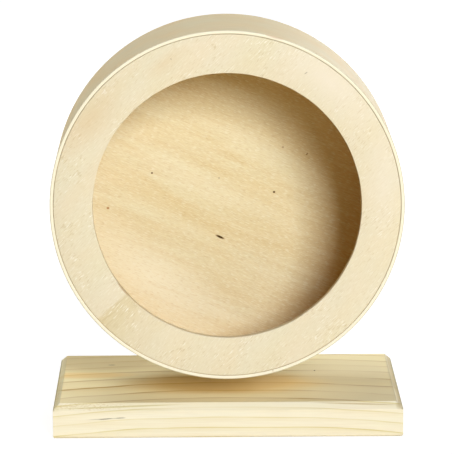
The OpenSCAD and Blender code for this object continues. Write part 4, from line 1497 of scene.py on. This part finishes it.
class WHEEL_OT_stand(bpy.types.Operator):
    """Finishes the base board and the upright and makes their dowels and screws"""

    bl_idname = "wheel.stand"
    bl_label = "Stand"

    def execute(self, context):
        scene = context.scene
        woods = scene.wheel_woods
        sizes = scene.wheel_fixings
        # Marks on the base board, in millimetres from the middle of its underside. It is 200 by 120 by
        # 20 mm, and the middles of its bevels lie 1.9 mm inside its sides and its top.
        level = (0, 0, 0)
        base_spots = [
            ((-69.6, -60, 11.5), (12.6, 1.0, 0.28), (0, -2.3, 0), 0.4),
            ((-69.9, -60, 11.45), (5.2, 1.0, 0.32), (0, -4.0, 0), 0.8),
            ((-61.4, -60, 12.0), (3.4, 1.0, 0.26), (0, -1.5, 0), 0.75),
            ((-68.6, 32.5, 20), (2.6, 0.8, 0.6), level, 0.7),
            ((52.2, 15.9, 20), (0.6, 1.4, 0.6), level, 0.8),
        ]
        base_rings = {
            "Pith": (16, -236, -600.75),
            "Ring width": 5.55,
            "Bow left": 3.8e-4,
            "Bow right": 5.9e-4,
        }
        base_tones_and_painted_light = {
            # Amber on the top: resin-rich wood on the left, and under the wheel a painted warm shade.
            "#f1cc7c": [
                ((-84, 8, 20), (34, 9, 3), level, 0.5),
                ((0, -12, 20), (66, 30, 3), (0, 0, 2), 0.65),
            ],
            # Darker, greyer at the rear left of the top: partly a greyer tone of the wood and partly painted
            # shade.
            "#cfb987": [((-76, 42, 20), (50, 30, 3), level, 0.55)],
            # Front, left and right bevels: the front one painted paler as a painted highlight, the end ones
            # darkened as painted shade, the right one most.
            "#fdf7dc": [((0, -58.1, 18.1), (98, 2.4, 2.4), level, 0.6)],
            "#ded3a2": [((-98.2, 0, 18.2), (3.6, 90, 3.6), level, 0.6)],
            "#b9a777": [((98.2, 0, 18.2), (3.6, 90, 3.6), level, 0.8)],
            # Paler at the rear right and along the front of the top, as painted light.
            "#e9dcb4": [((70, 14, 20), (36, 38, 3), level, 0.6)],
            "#faefc8": [
                ((-30, -48, 20), (90, 14, 3), level, 0.5),
                ((74, -38, 20), (44, 24, 3), level, 0.65),
            ],
            # Dark grain on the right of the front bevel.
            "#bda473": [((74, -57.5, 18.8), (28, 0.6, 0.6), (0, 1.6, -1.6), 0.55)],
            # Dark lines along the rims of the two end bevels, as painted shade where the edges turn away
            # from the light.
            "#8d8458": [
                ((-96.3, 0, 20), (0.4, 90, 0.6), level, 0.15),
                ((-99.7, 0, 16.6), (1.2, 90, 1.0), level, 0.6),
                ((96.3, 0, 20), (0.4, 90, 0.6), level, 0.3),
                ((99.7, 0, 16.6), (1.4, 90, 1.2), level, 0.8),
            ],
            # Olive grain on the left of the front bevel.
            "#cdbf7c": [((-62, -58.2, 18.1), (40, 0.7, 0.7), (0, -1.5, 1.5), 0.6)],
        }
        base_torn = [
            ((-80, -58, 18.2), (28, 4, 2.6), level, 0.33),
            ((-98.6, -20, 17.8), (2.4, 50, 2.4), level, 0.5),
            ((98.6, -20, 17.8), (2.4, 50, 2.4), level, 0.6),
        ]
        base = planed_pine(
            "planed pine of the base",
            woods,
            centre=(0, 0, 0),
            turn=level,
            grain=(1, 0, 0),
            broad=(0, 0, 1),
            rings=base_rings,
            tones_and_painted_light=base_tones_and_painted_light,
            spots=base_spots,
            torn=base_torn,
        )
        dress("base_board", base)
        upright_rings = {
            "Pith": (60, 90, 12),
            "Ring width": 4.2,
            "Bow left": 1.2e-3,
            "Bow right": 1.2e-3,
            "Waver": 1.2,
        }
        upright = planed_pine(
            "planed pine of the upright",
            woods,
            centre=(0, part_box("upright_board")[0].y, 0),
            turn=(0, -90, 0),
            grain=(0, 0, 1),
            broad=(0, 1, 0),
            rings=upright_rings,
            tones_and_painted_light={},
            spots=[],
            torn=[],
        )
        dress("upright_board", upright)
        beech = turned_beech("fluted beech of the dowels", woods, (0, 0, 0), (0, -90, 0), (0, 0, 1))
        low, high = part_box("stand_dowels")
        radius = (high.y - low.y) / 2
        middle = (low.y + high.y) / 2
        bevel = 0.8 * MM
        tall = high.z - low.z
        dowels = grow(
            "fluted_dowels",
            "turned piece",
            [
                (0, 0),
                (radius - bevel, 0),
                (radius, bevel),
                *((radius, z) for z in even_rows(bevel, tall - bevel, 4 * MM)[1:-1]),
                (radius, tall - bevel),
                (radius - bevel, tall),
                (0, tall),
            ],
            {
                "Segments": sizes.dowel_flutes * 8,
                "Flutes": sizes.dowel_flutes,
                "Flute depth": 0.3 * MM,
                "Copies": 2,
                "Circle radius": high.x - radius,
                "Place": (0, middle, low.z),
                "Tilt": 0.0,
                "Material": beech,
            },
        )
        settle(dowels, "stand", "beech", "stand_dowels")
        low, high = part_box("stand_screws")
        head = (high.y - low.y) / 2
        shank = head / 2
        screws = grow(
            "stand_wood_screws",
            "threaded fastener",
            wood_screw_profile(shank, head, high.z - low.z),
            {
                **wood_screw_values(shank, head, high.z - low.z, sizes.screw_pitch),
                "Copies": 2,
                "Circle radius": high.x - head,
                "Place": (0, (low.y + high.y) / 2, high.z),
                "Tilt": math.pi,
                "Material": bpy.data.materials["bright zinc plate"],
            },
        )
        settle(screws, "stand", "zinc_plated_steel", "stand_screws")
        return {"FINISHED"}


def wood_screw_profile(shank, head, long):
    """Section of a countersunk wood screw, from its tip at 0 to its head's face, fine along its thread."""
    point = 2 * shank
    taper_end = long - 0.3 * MM
    taper_start = taper_end - (head - shank)
    tip = [(shank * z / point, z) for z in even_rows(0, point, 0.3 * MM)]
    thread = [(shank, z) for z in even_rows(point, taper_start, 0.22 * MM)[1:]]
    rim = [(head, taper_end), (head, long - 0.05 * MM), (head - 0.05 * MM, long), (0, long)]
    return tip + thread + rim


def wood_screw_values(shank, head, long, pitch):
    """Inputs that a wood screw's thread and recess need."""
    return {
        "Segments": 40,
        "Flats": 1.0,
        "Head from": 1.0,
        "Thread from": -pitch,
        "Thread to": long * 0.65,
        "Pitch": pitch,
        "Depth": shank * 0.32,
        "Sharpness": 2.2,
        "Shank radius": shank,
        "Recess place": long,
        "Recess reach": head * 0.58,
        "Recess width": head * 0.26,
        "Recess depth": head * 0.5,
    }


def shield_section(shield):
    """Section of a pressed shield: a flat web, a step down to the race and a rim crimped into its groove."""
    thin = 0.3 * MM
    line = [
        (shield.inner, 0.05 * MM),
        (shield.inner + 0.45 * MM, 0.05 * MM),
        (shield.inner + 0.75 * MM, 0),
        (shield.outer - 0.6 * MM, 0),
        (shield.outer - 0.3 * MM, 0.05 * MM),
        (shield.outer, 0.05 * MM),
    ]
    back = [(r, z + thin) for r, z in reversed(line)]
    return line + back + line[:1]


STEPS = (
    WHEEL_OT_stage,
    WHEEL_OT_band,
    WHEEL_OT_ring,
    WHEEL_OT_disc,
    WHEEL_OT_hub,
    WHEEL_OT_axle,
    WHEEL_OT_bearings,
    WHEEL_OT_stand,
)
SETTINGS = {
    "wheel_drum": DrumSizes,
    "wheel_fixings": FixingSizes,
    "wheel_woods": WoodColours,
    "wheel_metals": MetalColours,
    "wheel_stage": StageSettings,
}


class VIEW3D_PT_wheel(bpy.types.Panel):
    """Sizes, colours and steps of the exercise wheel"""

    bl_label = "Exercise Wheel"
    bl_space_type = "VIEW_3D"
    bl_region_type = "UI"
    bl_category = "Wheel"

    def draw(self, context):
        for label in SETTINGS:
            box = self.layout.box()
            settings = getattr(context.scene, label)
            for key in settings.bl_rna.properties.keys():
                if key not in ("rna_type", "name"):
                    box.prop(settings, key)
        for step in STEPS:
            self.layout.operator(step.bl_idname)


def register():
    for kind in (*SETTINGS.values(), *STEPS, VIEW3D_PT_wheel):
        bpy.utils.register_class(kind)
    for label, kind in SETTINGS.items():
        setattr(bpy.types.Scene, label, PointerProperty(type=kind))


def unregister():
    for label in SETTINGS:
        delattr(bpy.types.Scene, label)
    for kind in (VIEW3D_PT_wheel, *reversed(STEPS), *reversed(SETTINGS.values())):
        bpy.utils.unregister_class(kind)


def main():
    """Builds the whole object."""
    register()
    trees = (revolve_group, copies_group, band_tree, turned_tree, fastener_tree)
    for make in (*trees, wood_face_group, growth_rings_group, worn_edge_group):
        make()
    bright_zinc(bpy.context.scene.wheel_metals)
    for step in STEPS:
        space, name = step.bl_idname.split(".")
        getattr(getattr(bpy.ops, space), name)()


if __name__ == "__main__":
    main()
